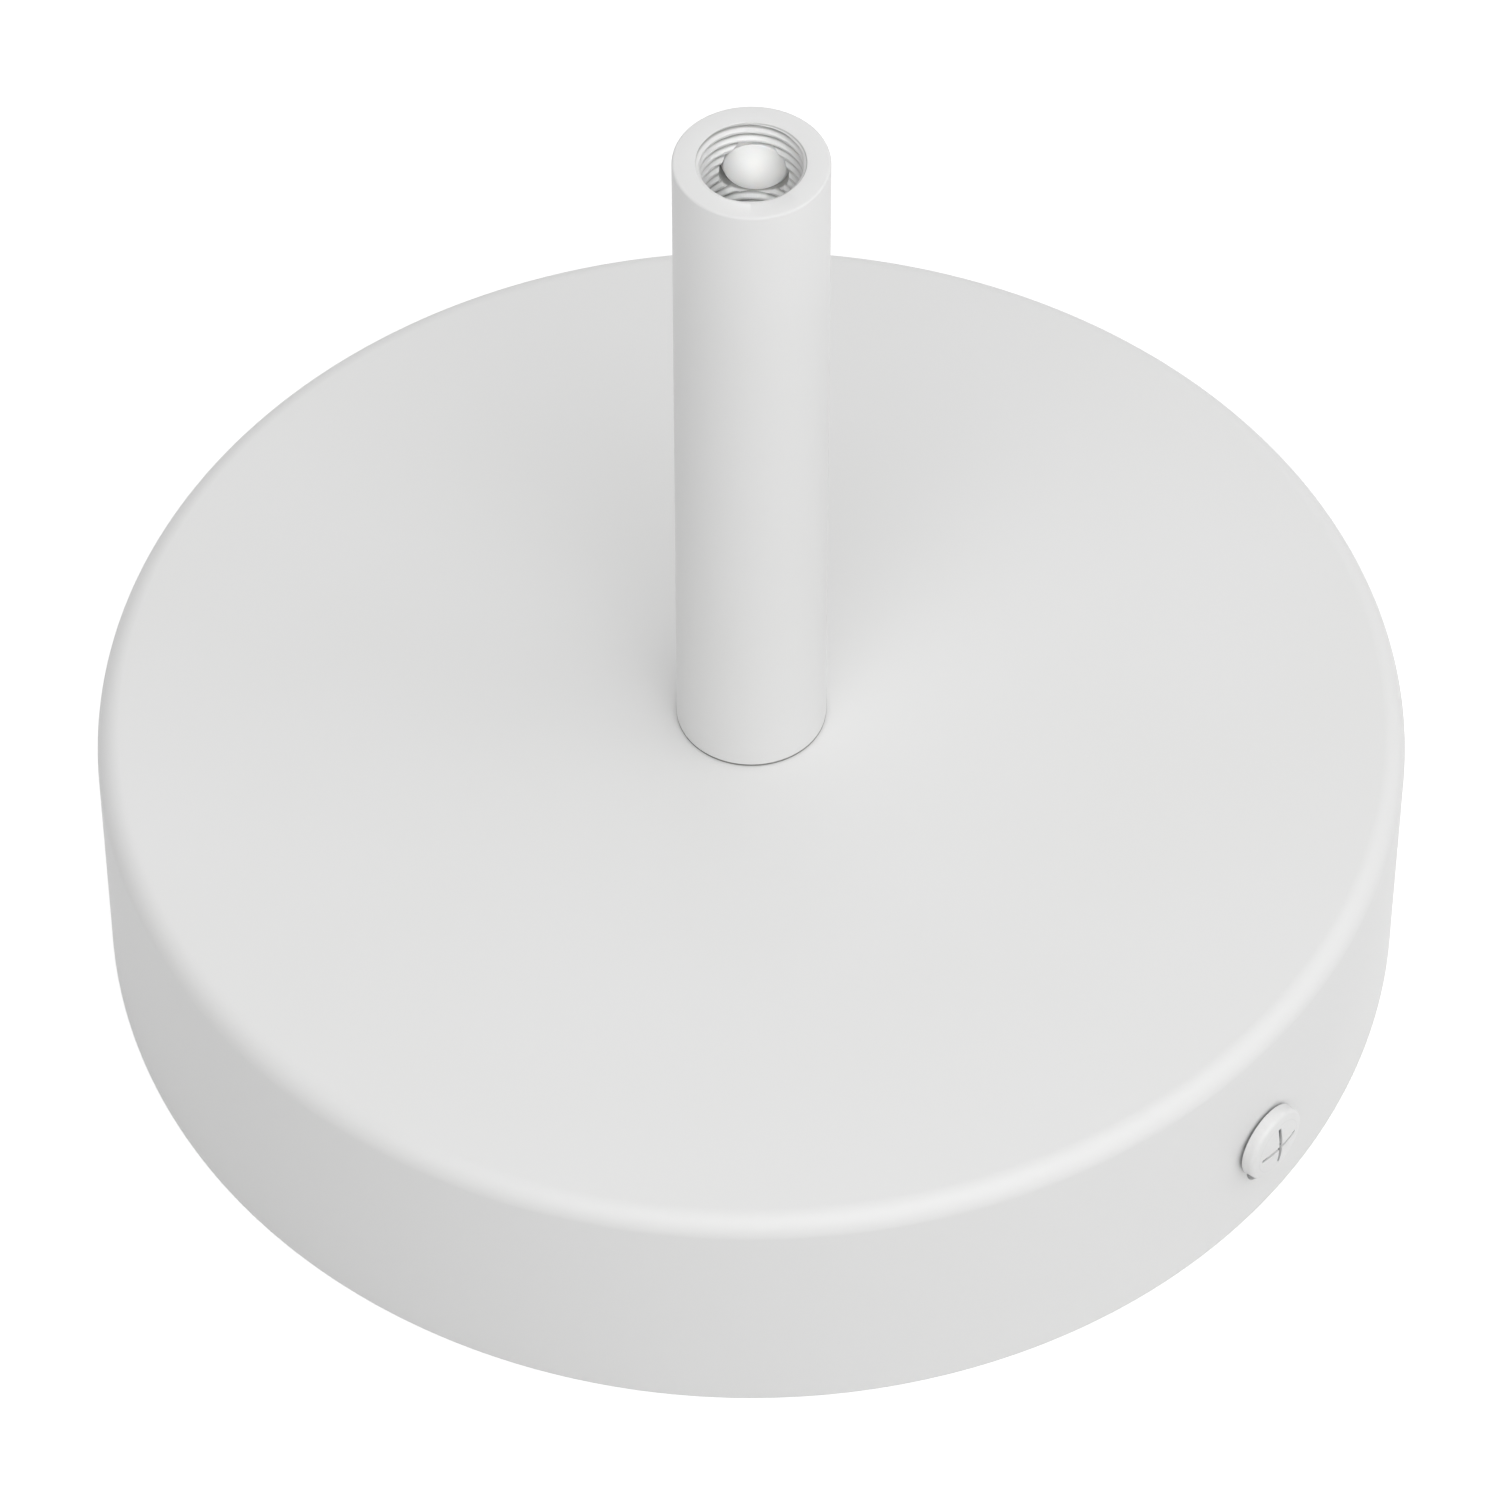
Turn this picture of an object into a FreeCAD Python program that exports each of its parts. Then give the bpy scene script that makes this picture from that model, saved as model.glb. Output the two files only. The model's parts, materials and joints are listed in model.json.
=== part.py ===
import FreeCAD, Part
import math
import os

from FreeCAD import Vector

# Electrical ceiling rose: a spun steel cup that covers the wiring on a ceiling, with a long cord
# grip tube screwed to its middle. Lengths are in millimetres. The ceiling face is z = 0, +Z runs
# along the tube away from the ceiling, and the X axis passes through the two side screws.

# Fits shared by many pieces
THREAD_CLEARANCE = 0.05
SEAT_CLEARANCE = 0.1

# Cup
CUP_DIAMETER = 120.0
CUP_HEIGHT = 25.0
CUP_SHEET = 1.0
CUP_EDGE_RADIUS = 2.05
CUP_EDGE_BAND_COUNT = 3
CUP_HOLE_CLEARANCE = 0.25
SLOT_SIDE_CLEARANCE = 0.2
SLOT_TRAVEL = 3.4

# Cord grip tube
TUBE_WALL = 1.8
TUBE_LENGTH = 70.8
TUBE_THREAD_RADIUS = 4.5
TUBE_THREAD_DEPTH = 12.0
TUBE_PASSAGE_RADIUS = 4.0
TUBE_MOUTH_RADIUS = 4.8
TUBE_BASE_BORE_SPARE = 0.5

# Grub screw that holds the cord in the tube
GRIP_SCREW_RADIUS = 3.0
GRIP_SCREW_LENGTH = 4.0
GRIP_SCREW_BELOW_TOP = 5.2
GRIP_SCREW_BEARING = 126.4
GRIP_SCREW_CHAMFER = 0.3
GRIP_SLOT_WIDTH = 1.0
GRIP_SLOT_DEPTH = 1.3

# Nipple, nut and lock washer
NIPPLE_RADIUS = 5.0
NIPPLE_BORE_RADIUS = 3.5
NIPPLE_IN_TUBE = 9.5
NIPPLE_BELOW_NUT = 3.7
NUT_ACROSS_FLATS = 14.0
NUT_HEIGHT = 3.0
WASHER_RADIUS = 9.0
WASHER_THICKNESS = 0.8
WASHER_TEETH = 8
WASHER_TOOTH_LENGTH = 2.2
WASHER_GAP_WIDTH = 3.0

# Side screws
SIDE_SCREW_HEIGHT = 10.3
SIDE_SCREW_RADIUS = 2.0
SIDE_SCREW_LENGTH = 8.0
SIDE_HEAD_RADIUS = 3.6
SIDE_HEAD_EDGE = 1.2
SIDE_HEAD_CROWN = 0.6
SIDE_HEAD_FLAT_RADIUS = 2.5

# Cross recess of the side screws
RECESS_REACH = 2.4
RECESS_FLOOR_REACH = 0.9
RECESS_WIDTH = 0.6
RECESS_DEPTH = 1.3

# Mounting bracket
BRACKET_SHEET = 1.5
BRACKET_WIDTH = 20.0
BRACKET_BEND = 1.0
BRACKET_SHOULDER_LENGTH = 5.0
BRACKET_SHOULDER_RUN = 3.0
BRACKET_ROUNDING = 1.5
EAR_WIDTH = 14.0
EAR_CLEARANCE = 0.15
COLLAR_WALL = 1.1
COLLAR_HEIGHT = 1.5
CABLE_HOLE_RADIUS = 6.0
CEILING_SLOT_WIDTH = 4.5
CEILING_SLOT_START = 11.0
CEILING_SLOT_TRAVEL = 9.0

# Earth terminal
EARTH_SCREW_RADIUS = 2.0
EARTH_SCREW_TO_EAR = 21.4
EARTH_HEAD_RADIUS = 3.5
EARTH_HEAD_HEIGHT = 2.4
EARTH_SLOT_WIDTH = 1.0
EARTH_SLOT_DEPTH = 1.2
EARTH_WASHER_SIZE = 9.0
EARTH_WASHER_THICKNESS = 1.0
SPRING_WASHER_RADIUS = 3.3
SPRING_WASHER_THICKNESS = 0.9
SPRING_WASHER_GAP = 0.7
EARTH_TIP_ABOVE_CEILING = 0.3

# Terminal block
POLE_COUNT = 2
POLE_PITCH = 10.0
BLOCK_BEYOND_SLEEVE = 2.0
BLOCK_HEIGHT = 12.5
BLOCK_TO_SIDE_SCREW = 1.9
BARREL_FLOOR = 1.0
BARREL_WALL = 0.75
BARREL_ROUNDING = 0.4
TOWER_WALL = 0.8
TOWER_BORE_CLEARANCE = 0.2
WEB_WIDTH = 9.0

# Brass sleeves and their clamp screws
SLEEVE_SIZE = 4.8
SLEEVE_BORE_RADIUS = 1.6
SLEEVE_LENGTH = 13.0
CLAMP_SCREW_RADIUS = 1.5
CLAMP_SCREW_TO_SLEEVE_END = 2.5
CLAMP_SCREW_LENGTH = 6.0
CLAMP_SLOT_WIDTH = 0.6
CLAMP_SLOT_DEPTH = 1.0

# Screw that holds the block on the bracket
BLOCK_SCREW_RADIUS = 1.25
BLOCK_SCREW_CLEARANCE = 0.15
BLOCK_HEAD_RADIUS = 2.2
BLOCK_HEAD_HEIGHT = 1.6
BLOCK_SLOT_WIDTH = 0.7
BLOCK_SLOT_DEPTH = 0.9
BLOCK_TIP_ABOVE_CEILING = 0.1

ORIGIN = Vector(0, 0, 0)
X_AXIS = Vector(1, 0, 0)
Y_AXIS = Vector(0, 1, 0)
Z_AXIS = Vector(0, 0, 1)

# Places that several pieces share
CUP_RADIUS = CUP_DIAMETER / 2
TUBE_RADIUS = NIPPLE_RADIUS + THREAD_CLEARANCE + TUBE_WALL
TUBE_TOP = CUP_HEIGHT + TUBE_LENGTH
CUP_UNDERSIDE = CUP_HEIGHT - CUP_SHEET
WASHER_UNDERSIDE = CUP_UNDERSIDE - WASHER_THICKNESS
NUT_UNDERSIDE = WASHER_UNDERSIDE - NUT_HEIGHT
EAR_FACE = math.sqrt((CUP_RADIUS - CUP_SHEET) ** 2 - (EAR_WIDTH / 2) ** 2) - EAR_CLEARANCE
SIDE_HEAD_SEAT = CUP_RADIUS + SEAT_CLEARANCE
SIDE_SCREW_TIP = SIDE_HEAD_SEAT - SIDE_SCREW_LENGTH
EARTH_SCREW_PLACE = EARTH_SCREW_TO_EAR - EAR_FACE
CHANNEL_SIZE = SLEEVE_SIZE + 2 * THREAD_CLEARANCE
BARREL_WIDTH = CHANNEL_SIZE + 2 * BARREL_WALL
BARREL_HEIGHT = BARREL_FLOOR + CHANNEL_SIZE + BARREL_WALL
SLEEVE_AXIS = BRACKET_SHEET + BARREL_FLOOR + CHANNEL_SIZE / 2
BLOCK_LENGTH = (POLE_COUNT - 1) * POLE_PITCH + BARREL_WIDTH
BLOCK_PLACE = SIDE_SCREW_TIP - BLOCK_TO_SIDE_SCREW - BLOCK_LENGTH / 2
POLE_PLACES = [BLOCK_PLACE + (pole - (POLE_COUNT - 1) / 2) * POLE_PITCH for pole in range(POLE_COUNT)]
WEB_PLACES = [place + POLE_PITCH / 2 for place in POLE_PLACES[:-1]]
BLOCK_WIDTH = SLEEVE_LENGTH + 2 * BLOCK_BEYOND_SLEEVE
CLAMP_PLACE = SLEEVE_LENGTH / 2 - CLAMP_SCREW_TO_SLEEVE_END
CLAMP_SIDES = (-CLAMP_PLACE, CLAMP_PLACE)
EARTH_WASHER_SEAT = BRACKET_SHEET + COLLAR_HEIGHT
SPRING_WASHER_SEAT = EARTH_WASHER_SEAT + EARTH_WASHER_THICKNESS
EARTH_HEAD_SEAT = SPRING_WASHER_SEAT + SPRING_WASHER_THICKNESS


def rounded_outline(corners, across, up):
    """Closed flat wire through corners given as across, up and the radius that rounds them."""
    points = [across * corner[0] + up * corner[1] for corner in corners]
    bends = []
    for index, corner in enumerate(corners):
        point = points[index]
        radius = corner[2]
        back = (points[index - 1] - point).normalize()
        ahead = (points[(index + 1) % len(points)] - point).normalize()
        half_angle = back.getAngle(ahead) / 2
        setback = radius / math.tan(half_angle)
        middle = point + (back + ahead).normalize() * (radius / math.sin(half_angle) - radius)
        bends.append((point + back * setback, middle, point + ahead * setback))
    edges = []
    for index, (start, middle, end) in enumerate(bends):
        if corners[index][2] > 0:
            edges.append(Part.Arc(start, middle, end).toShape())
        following = bends[(index + 1) % len(bends)][0]
        if end.distanceToPoint(following) > 1e-6:
            edges.append(Part.makeLine(end, following))
    return Part.Wire(edges)


def turned(corners):
    """Solid turned about the Z axis from corners given as radius and height."""
    points = [Vector(radius, 0, height) for radius, height in corners]
    section = Part.Face(Part.makePolygon(points + points[:1]))
    return section.revolve(ORIGIN, Z_AXIS, 360)


def rounded_edge(outer_radius, top, rounding, bands):
    """Corners of an outer edge that narrow cones round, from the wall up to the flat top."""
    corners = []
    for step in range(bands + 1):
        angle = math.radians(90 * step / bands)
        radius = outer_radius - rounding * (1 - math.cos(angle))
        height = top - rounding * (1 - math.sin(angle))
        corners.append((radius, height))
    return corners


def extruded(corners, across, up, length):
    """Solid swept from a flat outline, half its length to each side of the outline's plane."""
    sweep = across.cross(up).normalize() * length
    section = Part.Face(rounded_outline(corners, across, up))
    section.translate(sweep * -0.5)
    return section.extrude(sweep)


def oblong(start, end, radius, sweep):
    """Round-ended bar or slot between two centres, swept along the given vector."""
    along = (end - start).normalize()
    side = sweep.cross(along).normalize() * radius
    outline = Part.Wire([
        Part.makeLine(start + side, end + side),
        Part.Arc(end + side, end + along * radius, end - side).toShape(),
        Part.makeLine(end - side, start - side),
        Part.Arc(start - side, start - along * radius, start + side).toShape(),
    ])
    return Part.Face(outline).extrude(sweep)


def pan_head_screw(head_radius, head_edge, crown, flat_radius, shank_radius, shank_length):
    """Screw with its head above z = 0, narrowing to a flat with a cross recess, and its shank below."""
    top = head_edge + crown
    screw = turned([
        (0, -shank_length),
        (shank_radius, -shank_length),
        (shank_radius, 0),
        (head_radius, 0),
        (head_radius, head_edge),
        (flat_radius, top),
        (0, top),
    ])
    arm = extruded([
        (-RECESS_REACH, top, 0),
        (RECESS_REACH, top, 0),
        (RECESS_FLOOR_REACH, top - RECESS_DEPTH, 0),
        (-RECESS_FLOOR_REACH, top - RECESS_DEPTH, 0),
    ], X_AXIS, Z_AXIS, RECESS_WIDTH)
    crossing_arm = arm.copy()
    crossing_arm.rotate(ORIGIN, Z_AXIS, 90)
    return screw.cut(arm.fuse(crossing_arm))


def slot_across(screw, radius, top, width, depth):
    """The given upright screw with a driver slot along X in its top."""
    corner = Vector(-radius, -width / 2, top - depth)
    return screw.cut(Part.makeBox(2 * radius, width, depth, corner))


def make_rose_cup():
    """Spun cup, open towards the ceiling, with a centre hole and a screw slot on each side."""
    hole_radius = NIPPLE_RADIUS + CUP_HOLE_CLEARANCE
    inner_radius = CUP_RADIUS - CUP_SHEET
    inner_rounding = CUP_EDGE_RADIUS - CUP_SHEET
    cup = turned([
        (inner_radius, 0),
        (CUP_RADIUS, 0),
        *rounded_edge(CUP_RADIUS, CUP_HEIGHT, CUP_EDGE_RADIUS, CUP_EDGE_BAND_COUNT),
        (hole_radius, CUP_HEIGHT),
        (hole_radius, CUP_UNDERSIDE),
        (inner_radius - inner_rounding, CUP_UNDERSIDE),
        (inner_radius, CUP_UNDERSIDE - inner_rounding),
    ])
    slot_radius = SIDE_SCREW_RADIUS + SLOT_SIDE_CLEARANCE
    slot_high = Vector(0, 0, SIDE_SCREW_HEIGHT + SLOT_SIDE_CLEARANCE)
    slot_low = slot_high - Z_AXIS * SLOT_TRAVEL
    for side in (-1, 1):
        cup = cup.cut(oblong(slot_low, slot_high, slot_radius, X_AXIS * side * CUP_DIAMETER))
    return cup


def make_cord_grip_tube():
    """Turned tube: threaded mouth, narrower cord passage, and a bore for the nipple in its base."""
    nipple_bore = NIPPLE_RADIUS + THREAD_CLEARANCE
    base_bore_end = CUP_HEIGHT + NIPPLE_IN_TUBE + TUBE_BASE_BORE_SPARE
    thread_end = TUBE_TOP - TUBE_THREAD_DEPTH
    mouth_depth = TUBE_MOUTH_RADIUS - TUBE_THREAD_RADIUS
    tube = turned([
        (nipple_bore, CUP_HEIGHT),
        (TUBE_RADIUS, CUP_HEIGHT),
        (TUBE_RADIUS, TUBE_TOP),
        (TUBE_MOUTH_RADIUS, TUBE_TOP),
        (TUBE_THREAD_RADIUS, TUBE_TOP - mouth_depth),
        (TUBE_THREAD_RADIUS, thread_end),
        (TUBE_PASSAGE_RADIUS, thread_end),
        (TUBE_PASSAGE_RADIUS, base_bore_end),
        (nipple_bore, base_bore_end),
    ])
    cross_hole = Part.makeCylinder(
        GRIP_SCREW_RADIUS + THREAD_CLEARANCE,
        2 * TUBE_RADIUS,
        Vector(0, 0, TUBE_TOP - GRIP_SCREW_BELOW_TOP),
        X_AXIS,
    )
    cross_hole.rotate(ORIGIN, Z_AXIS, GRIP_SCREW_BEARING)
    return tube.cut(cross_hole)


def make_cord_grip_screw():
    """Headless screw in the tube's cross hole, slotted at its outer end, flat at its inner end."""
    screw = turned([
        (0, 0),
        (GRIP_SCREW_RADIUS - GRIP_SCREW_CHAMFER, 0),
        (GRIP_SCREW_RADIUS, GRIP_SCREW_CHAMFER),
        (GRIP_SCREW_RADIUS, GRIP_SCREW_LENGTH),
        (0, GRIP_SCREW_LENGTH),
    ])
    screw = slot_across(screw, GRIP_SCREW_RADIUS, GRIP_SCREW_LENGTH, GRIP_SLOT_WIDTH, GRIP_SLOT_DEPTH)
    screw.rotate(ORIGIN, Y_AXIS, 90)
    screw.translate(Vector(TUBE_THREAD_RADIUS + THREAD_CLEARANCE, 0, TUBE_TOP - GRIP_SCREW_BELOW_TOP))
    screw.rotate(ORIGIN, Z_AXIS, GRIP_SCREW_BEARING)
    return screw


def make_threaded_nipple():
    """Hollow threaded rod from inside the cup, through nut, washer and cup, up into the tube."""
    bottom = NUT_UNDERSIDE - NIPPLE_BELOW_NUT
    top = CUP_HEIGHT + NIPPLE_IN_TUBE
    return turned([
        (NIPPLE_BORE_RADIUS, bottom),
        (NIPPLE_RADIUS, bottom),
        (NIPPLE_RADIUS, top),
        (NIPPLE_BORE_RADIUS, top),
    ])


def make_lock_washer():
    """Flat ring with outward teeth between straight-sided gaps."""
    gap = Part.makeBox(
        WASHER_TOOTH_LENGTH,
        WASHER_GAP_WIDTH,
        WASHER_THICKNESS,
        Vector(WASHER_RADIUS - WASHER_TOOTH_LENGTH, -WASHER_GAP_WIDTH / 2, 0),
    )
    washer = Part.makeCylinder(WASHER_RADIUS, WASHER_THICKNESS)
    washer = washer.cut(Part.makeCylinder(NIPPLE_RADIUS + CUP_HOLE_CLEARANCE, WASHER_THICKNESS))
    for tooth in range(WASHER_TEETH):
        turned_gap = gap.copy()
        turned_gap.rotate(ORIGIN, Z_AXIS, tooth * 360 / WASHER_TEETH)
        washer = washer.cut(turned_gap)
    washer.translate(Vector(0, 0, WASHER_UNDERSIDE))
    return washer


def make_nipple_nut():
    """Thin hexagon nut that holds the nipple and the lock washer against the cup."""
    corner = NUT_ACROSS_FLATS / 2 / math.cos(math.radians(30))
    vertices = []
    for index in range(6):
        angle = math.radians(60 * index)
        vertices.append(Vector(corner * math.cos(angle), corner * math.sin(angle), 0))
    nut = Part.Face(Part.makePolygon(vertices + vertices[:1])).extrude(Z_AXIS * NUT_HEIGHT)
    nut = nut.cut(Part.makeCylinder(NIPPLE_RADIUS + THREAD_CLEARANCE, NUT_HEIGHT))
    nut.translate(Vector(0, 0, NUT_UNDERSIDE))
    return nut


def make_mounting_bracket():
    """Folded strip on the ceiling: round-topped ears, drawn collars, cable hole and screw slots."""
    ear_top = SIDE_SCREW_HEIGHT + EAR_WIDTH / 2
    inner_face = EAR_FACE - BRACKET_SHEET
    folded = extruded([
        (-EAR_FACE, ear_top, 0),
        (-EAR_FACE, 0, BRACKET_BEND + BRACKET_SHEET),
        (EAR_FACE, 0, BRACKET_BEND + BRACKET_SHEET),
        (EAR_FACE, ear_top, 0),
        (inner_face, ear_top, 0),
        (inner_face, BRACKET_SHEET, BRACKET_BEND),
        (-inner_face, BRACKET_SHEET, BRACKET_BEND),
        (-inner_face, ear_top, 0),
    ], X_AXIS, Z_AXIS, BRACKET_WIDTH)

    # The strip narrows to the width of its ears before it bends up.
    narrow_from = EAR_FACE - BRACKET_SHOULDER_LENGTH
    wide_until = narrow_from - BRACKET_SHOULDER_RUN
    half_ear = EAR_WIDTH / 2
    half_strip = BRACKET_WIDTH / 2
    plan = extruded([
        (-narrow_from, -half_ear, BRACKET_ROUNDING),
        (-wide_until, -half_strip, BRACKET_ROUNDING),
        (wide_until, -half_strip, BRACKET_ROUNDING),
        (narrow_from, -half_ear, BRACKET_ROUNDING),
        (EAR_FACE, -half_ear, 0),
        (EAR_FACE, half_ear, 0),
        (narrow_from, half_ear, BRACKET_ROUNDING),
        (wide_until, half_strip, BRACKET_ROUNDING),
        (-wide_until, half_strip, BRACKET_ROUNDING),
        (-narrow_from, half_ear, BRACKET_ROUNDING),
        (-EAR_FACE, half_ear, 0),
        (-EAR_FACE, -half_ear, 0),
    ], X_AXIS, Y_AXIS, 2 * BRACKET_SHEET)
    ears = extruded([
        (-half_ear, 0, 0),
        (half_ear, 0, 0),
        (half_ear, ear_top, half_ear),
        (-half_ear, ear_top, half_ear),
    ], Y_AXIS, Z_AXIS, 2 * EAR_FACE)
    bracket = folded.common(plan.fuse(ears))

    # Collars drawn out of the sheet give the side screws and the earth screw their thread length.
    ear_hole = SIDE_SCREW_RADIUS + THREAD_CLEARANCE
    earth_hole = EARTH_SCREW_RADIUS + THREAD_CLEARANCE
    collar_length = BRACKET_SHEET + COLLAR_HEIGHT
    for side in (-1, 1):
        face = Vector(side * EAR_FACE, 0, SIDE_SCREW_HEIGHT)
        inward = X_AXIS * -side
        bracket = bracket.fuse(Part.makeCylinder(ear_hole + COLLAR_WALL, collar_length, face, inward))
        bracket = bracket.cut(Part.makeCylinder(ear_hole, collar_length, face, inward))
    earth_place = Vector(EARTH_SCREW_PLACE, 0, 0)
    bracket = bracket.fuse(Part.makeCylinder(earth_hole + COLLAR_WALL, collar_length, earth_place))
    bracket = bracket.cut(Part.makeCylinder(earth_hole, collar_length, earth_place))

    # Cable hole in the middle, a slot for a ceiling screw on each side, and the block's screw hole.
    bracket = bracket.cut(Part.makeCylinder(CABLE_HOLE_RADIUS, BRACKET_SHEET))
    for side in (-1, 1):
        near_end = Vector(side * CEILING_SLOT_START, 0, 0)
        far_end = near_end + X_AXIS * side * CEILING_SLOT_TRAVEL
        slot = oblong(near_end, far_end, CEILING_SLOT_WIDTH / 2, Z_AXIS * BRACKET_SHEET)
        bracket = bracket.cut(slot)
    for place in WEB_PLACES:
        tapped = Part.makeCylinder(
            BLOCK_SCREW_RADIUS + THREAD_CLEARANCE,
            BRACKET_SHEET,
            Vector(place, 0, 0),
        )
        bracket = bracket.cut(tapped)
    return bracket.removeSplitter()


def make_side_screw(side):
    """Pan head screw through the cup's slot into the ear, on the +X or the -X side."""
    screw = pan_head_screw(
        SIDE_HEAD_RADIUS,
        SIDE_HEAD_EDGE,
        SIDE_HEAD_CROWN,
        SIDE_HEAD_FLAT_RADIUS,
        SIDE_SCREW_RADIUS,
        SIDE_SCREW_LENGTH,
    )
    screw.rotate(ORIGIN, Y_AXIS, 90 * side)
    screw.translate(Vector(side * SIDE_HEAD_SEAT, 0, SIDE_SCREW_HEIGHT))
    return screw


def make_earth_screw():
    """Slotted screw that clamps the earth wires under its washers, in the bracket's collar."""
    top = EARTH_HEAD_SEAT + EARTH_HEAD_HEIGHT
    screw = turned([
        (0, EARTH_TIP_ABOVE_CEILING),
        (EARTH_SCREW_RADIUS, EARTH_TIP_ABOVE_CEILING),
        (EARTH_SCREW_RADIUS, EARTH_HEAD_SEAT),
        (EARTH_HEAD_RADIUS, EARTH_HEAD_SEAT),
        (EARTH_HEAD_RADIUS, top),
        (0, top),
    ])
    screw = slot_across(screw, EARTH_HEAD_RADIUS, top, EARTH_SLOT_WIDTH, EARTH_SLOT_DEPTH)
    screw.translate(Vector(EARTH_SCREW_PLACE, 0, 0))
    return screw


def make_earth_washer():
    """Square washer that presses the earth wires on the bracket's collar."""
    half_size = EARTH_WASHER_SIZE / 2
    corner = Vector(-half_size, -half_size, 0)
    washer = Part.makeBox(EARTH_WASHER_SIZE, EARTH_WASHER_SIZE, EARTH_WASHER_THICKNESS, corner)
    washer = washer.cut(Part.makeCylinder(EARTH_SCREW_RADIUS + SEAT_CLEARANCE, EARTH_WASHER_THICKNESS))
    washer.translate(Vector(EARTH_SCREW_PLACE, 0, EARTH_WASHER_SEAT))
    return washer


def make_earth_spring_washer():
    """Split ring between the square washer and the head of the earth screw, pressed flat."""
    washer = Part.makeCylinder(SPRING_WASHER_RADIUS, SPRING_WASHER_THICKNESS)
    washer = washer.cut(Part.makeCylinder(EARTH_SCREW_RADIUS + SEAT_CLEARANCE, SPRING_WASHER_THICKNESS))
    split = Part.makeBox(
        SPRING_WASHER_GAP,
        SPRING_WASHER_RADIUS,
        SPRING_WASHER_THICKNESS,
        Vector(-SPRING_WASHER_GAP / 2, 0, 0),
    )
    washer = washer.cut(split)
    washer.translate(Vector(EARTH_SCREW_PLACE, 0, SPRING_WASHER_SEAT))
    return washer


def make_terminal_block():
    """Moulded housing: for each pole a barrel with an oblong screw tower, joined by webs."""
    half_barrel = BARREL_WIDTH / 2
    tower_bore = CLAMP_SCREW_RADIUS + TOWER_BORE_CLEARANCE
    tower_height = BLOCK_HEIGHT - BARREL_HEIGHT
    block = Part.makeBox(
        (POLE_COUNT - 1) * POLE_PITCH,
        WEB_WIDTH,
        BARREL_HEIGHT,
        Vector(POLE_PLACES[0], -WEB_WIDTH / 2, 0),
    )
    for place in POLE_PLACES:
        barrel = extruded([
            (place - half_barrel, 0, 0),
            (place + half_barrel, 0, 0),
            (place + half_barrel, BARREL_HEIGHT, BARREL_ROUNDING),
            (place - half_barrel, BARREL_HEIGHT, BARREL_ROUNDING),
        ], X_AXIS, Z_AXIS, BLOCK_WIDTH)
        tower = oblong(
            Vector(place, -CLAMP_PLACE, BARREL_HEIGHT),
            Vector(place, CLAMP_PLACE, BARREL_HEIGHT),
            tower_bore + TOWER_WALL,
            Z_AXIS * tower_height,
        )
        block = block.fuse(barrel).fuse(tower)
    for place in POLE_PLACES:
        channel_corner = Vector(place - CHANNEL_SIZE / 2, -BLOCK_WIDTH / 2, BARREL_FLOOR)
        block = block.cut(Part.makeBox(CHANNEL_SIZE, BLOCK_WIDTH, CHANNEL_SIZE, channel_corner))
        for side in CLAMP_SIDES:
            bore_base = Vector(place, side, BARREL_HEIGHT - BARREL_WALL)
            block = block.cut(Part.makeCylinder(tower_bore, tower_height + BARREL_WALL, bore_base))
    screw_hole = BLOCK_SCREW_RADIUS + BLOCK_SCREW_CLEARANCE
    for place in WEB_PLACES:
        block = block.cut(Part.makeCylinder(screw_hole, BARREL_HEIGHT, Vector(place, 0, 0)))
    block = block.removeSplitter()
    block.translate(Vector(0, 0, BRACKET_SHEET))
    return block


def make_terminal_sleeve(place):
    """Square brass bar along Y with a round bore for the wires and two tapped holes in its top."""
    half_size = SLEEVE_SIZE / 2
    corner = Vector(place - half_size, -SLEEVE_LENGTH / 2, SLEEVE_AXIS - half_size)
    sleeve = Part.makeBox(SLEEVE_SIZE, SLEEVE_LENGTH, SLEEVE_SIZE, corner)
    bore_start = Vector(place, -SLEEVE_LENGTH / 2, SLEEVE_AXIS)
    sleeve = sleeve.cut(Part.makeCylinder(SLEEVE_BORE_RADIUS, SLEEVE_LENGTH, bore_start, Y_AXIS))
    for side in CLAMP_SIDES:
        tapped = Part.makeCylinder(
            CLAMP_SCREW_RADIUS + THREAD_CLEARANCE,
            half_size,
            Vector(place, side, SLEEVE_AXIS),
        )
        sleeve = sleeve.cut(tapped)
    return sleeve


def make_terminal_screw(place, side):
    """Headless slotted screw, backed out until its tip leaves the sleeve's bore free for a wire."""
    screw = Part.makeCylinder(CLAMP_SCREW_RADIUS, CLAMP_SCREW_LENGTH)
    screw = slot_across(
        screw,
        CLAMP_SCREW_RADIUS,
        CLAMP_SCREW_LENGTH,
        CLAMP_SLOT_WIDTH,
        CLAMP_SLOT_DEPTH,
    )
    screw.translate(Vector(place, side, SLEEVE_AXIS + SLEEVE_BORE_RADIUS))
    return screw


def make_block_screw(place):
    """Small slotted screw through a web of the block into the bracket."""
    head_seat = BRACKET_SHEET + BARREL_HEIGHT
    top = head_seat + BLOCK_HEAD_HEIGHT
    screw = turned([
        (0, BLOCK_TIP_ABOVE_CEILING),
        (BLOCK_SCREW_RADIUS, BLOCK_TIP_ABOVE_CEILING),
        (BLOCK_SCREW_RADIUS, head_seat),
        (BLOCK_HEAD_RADIUS, head_seat),
        (BLOCK_HEAD_RADIUS, top),
        (0, top),
    ])
    screw = slot_across(screw, BLOCK_HEAD_RADIUS, top, BLOCK_SLOT_WIDTH, BLOCK_SLOT_DEPTH)
    screw.translate(Vector(place, 0, 0))
    return screw


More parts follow.
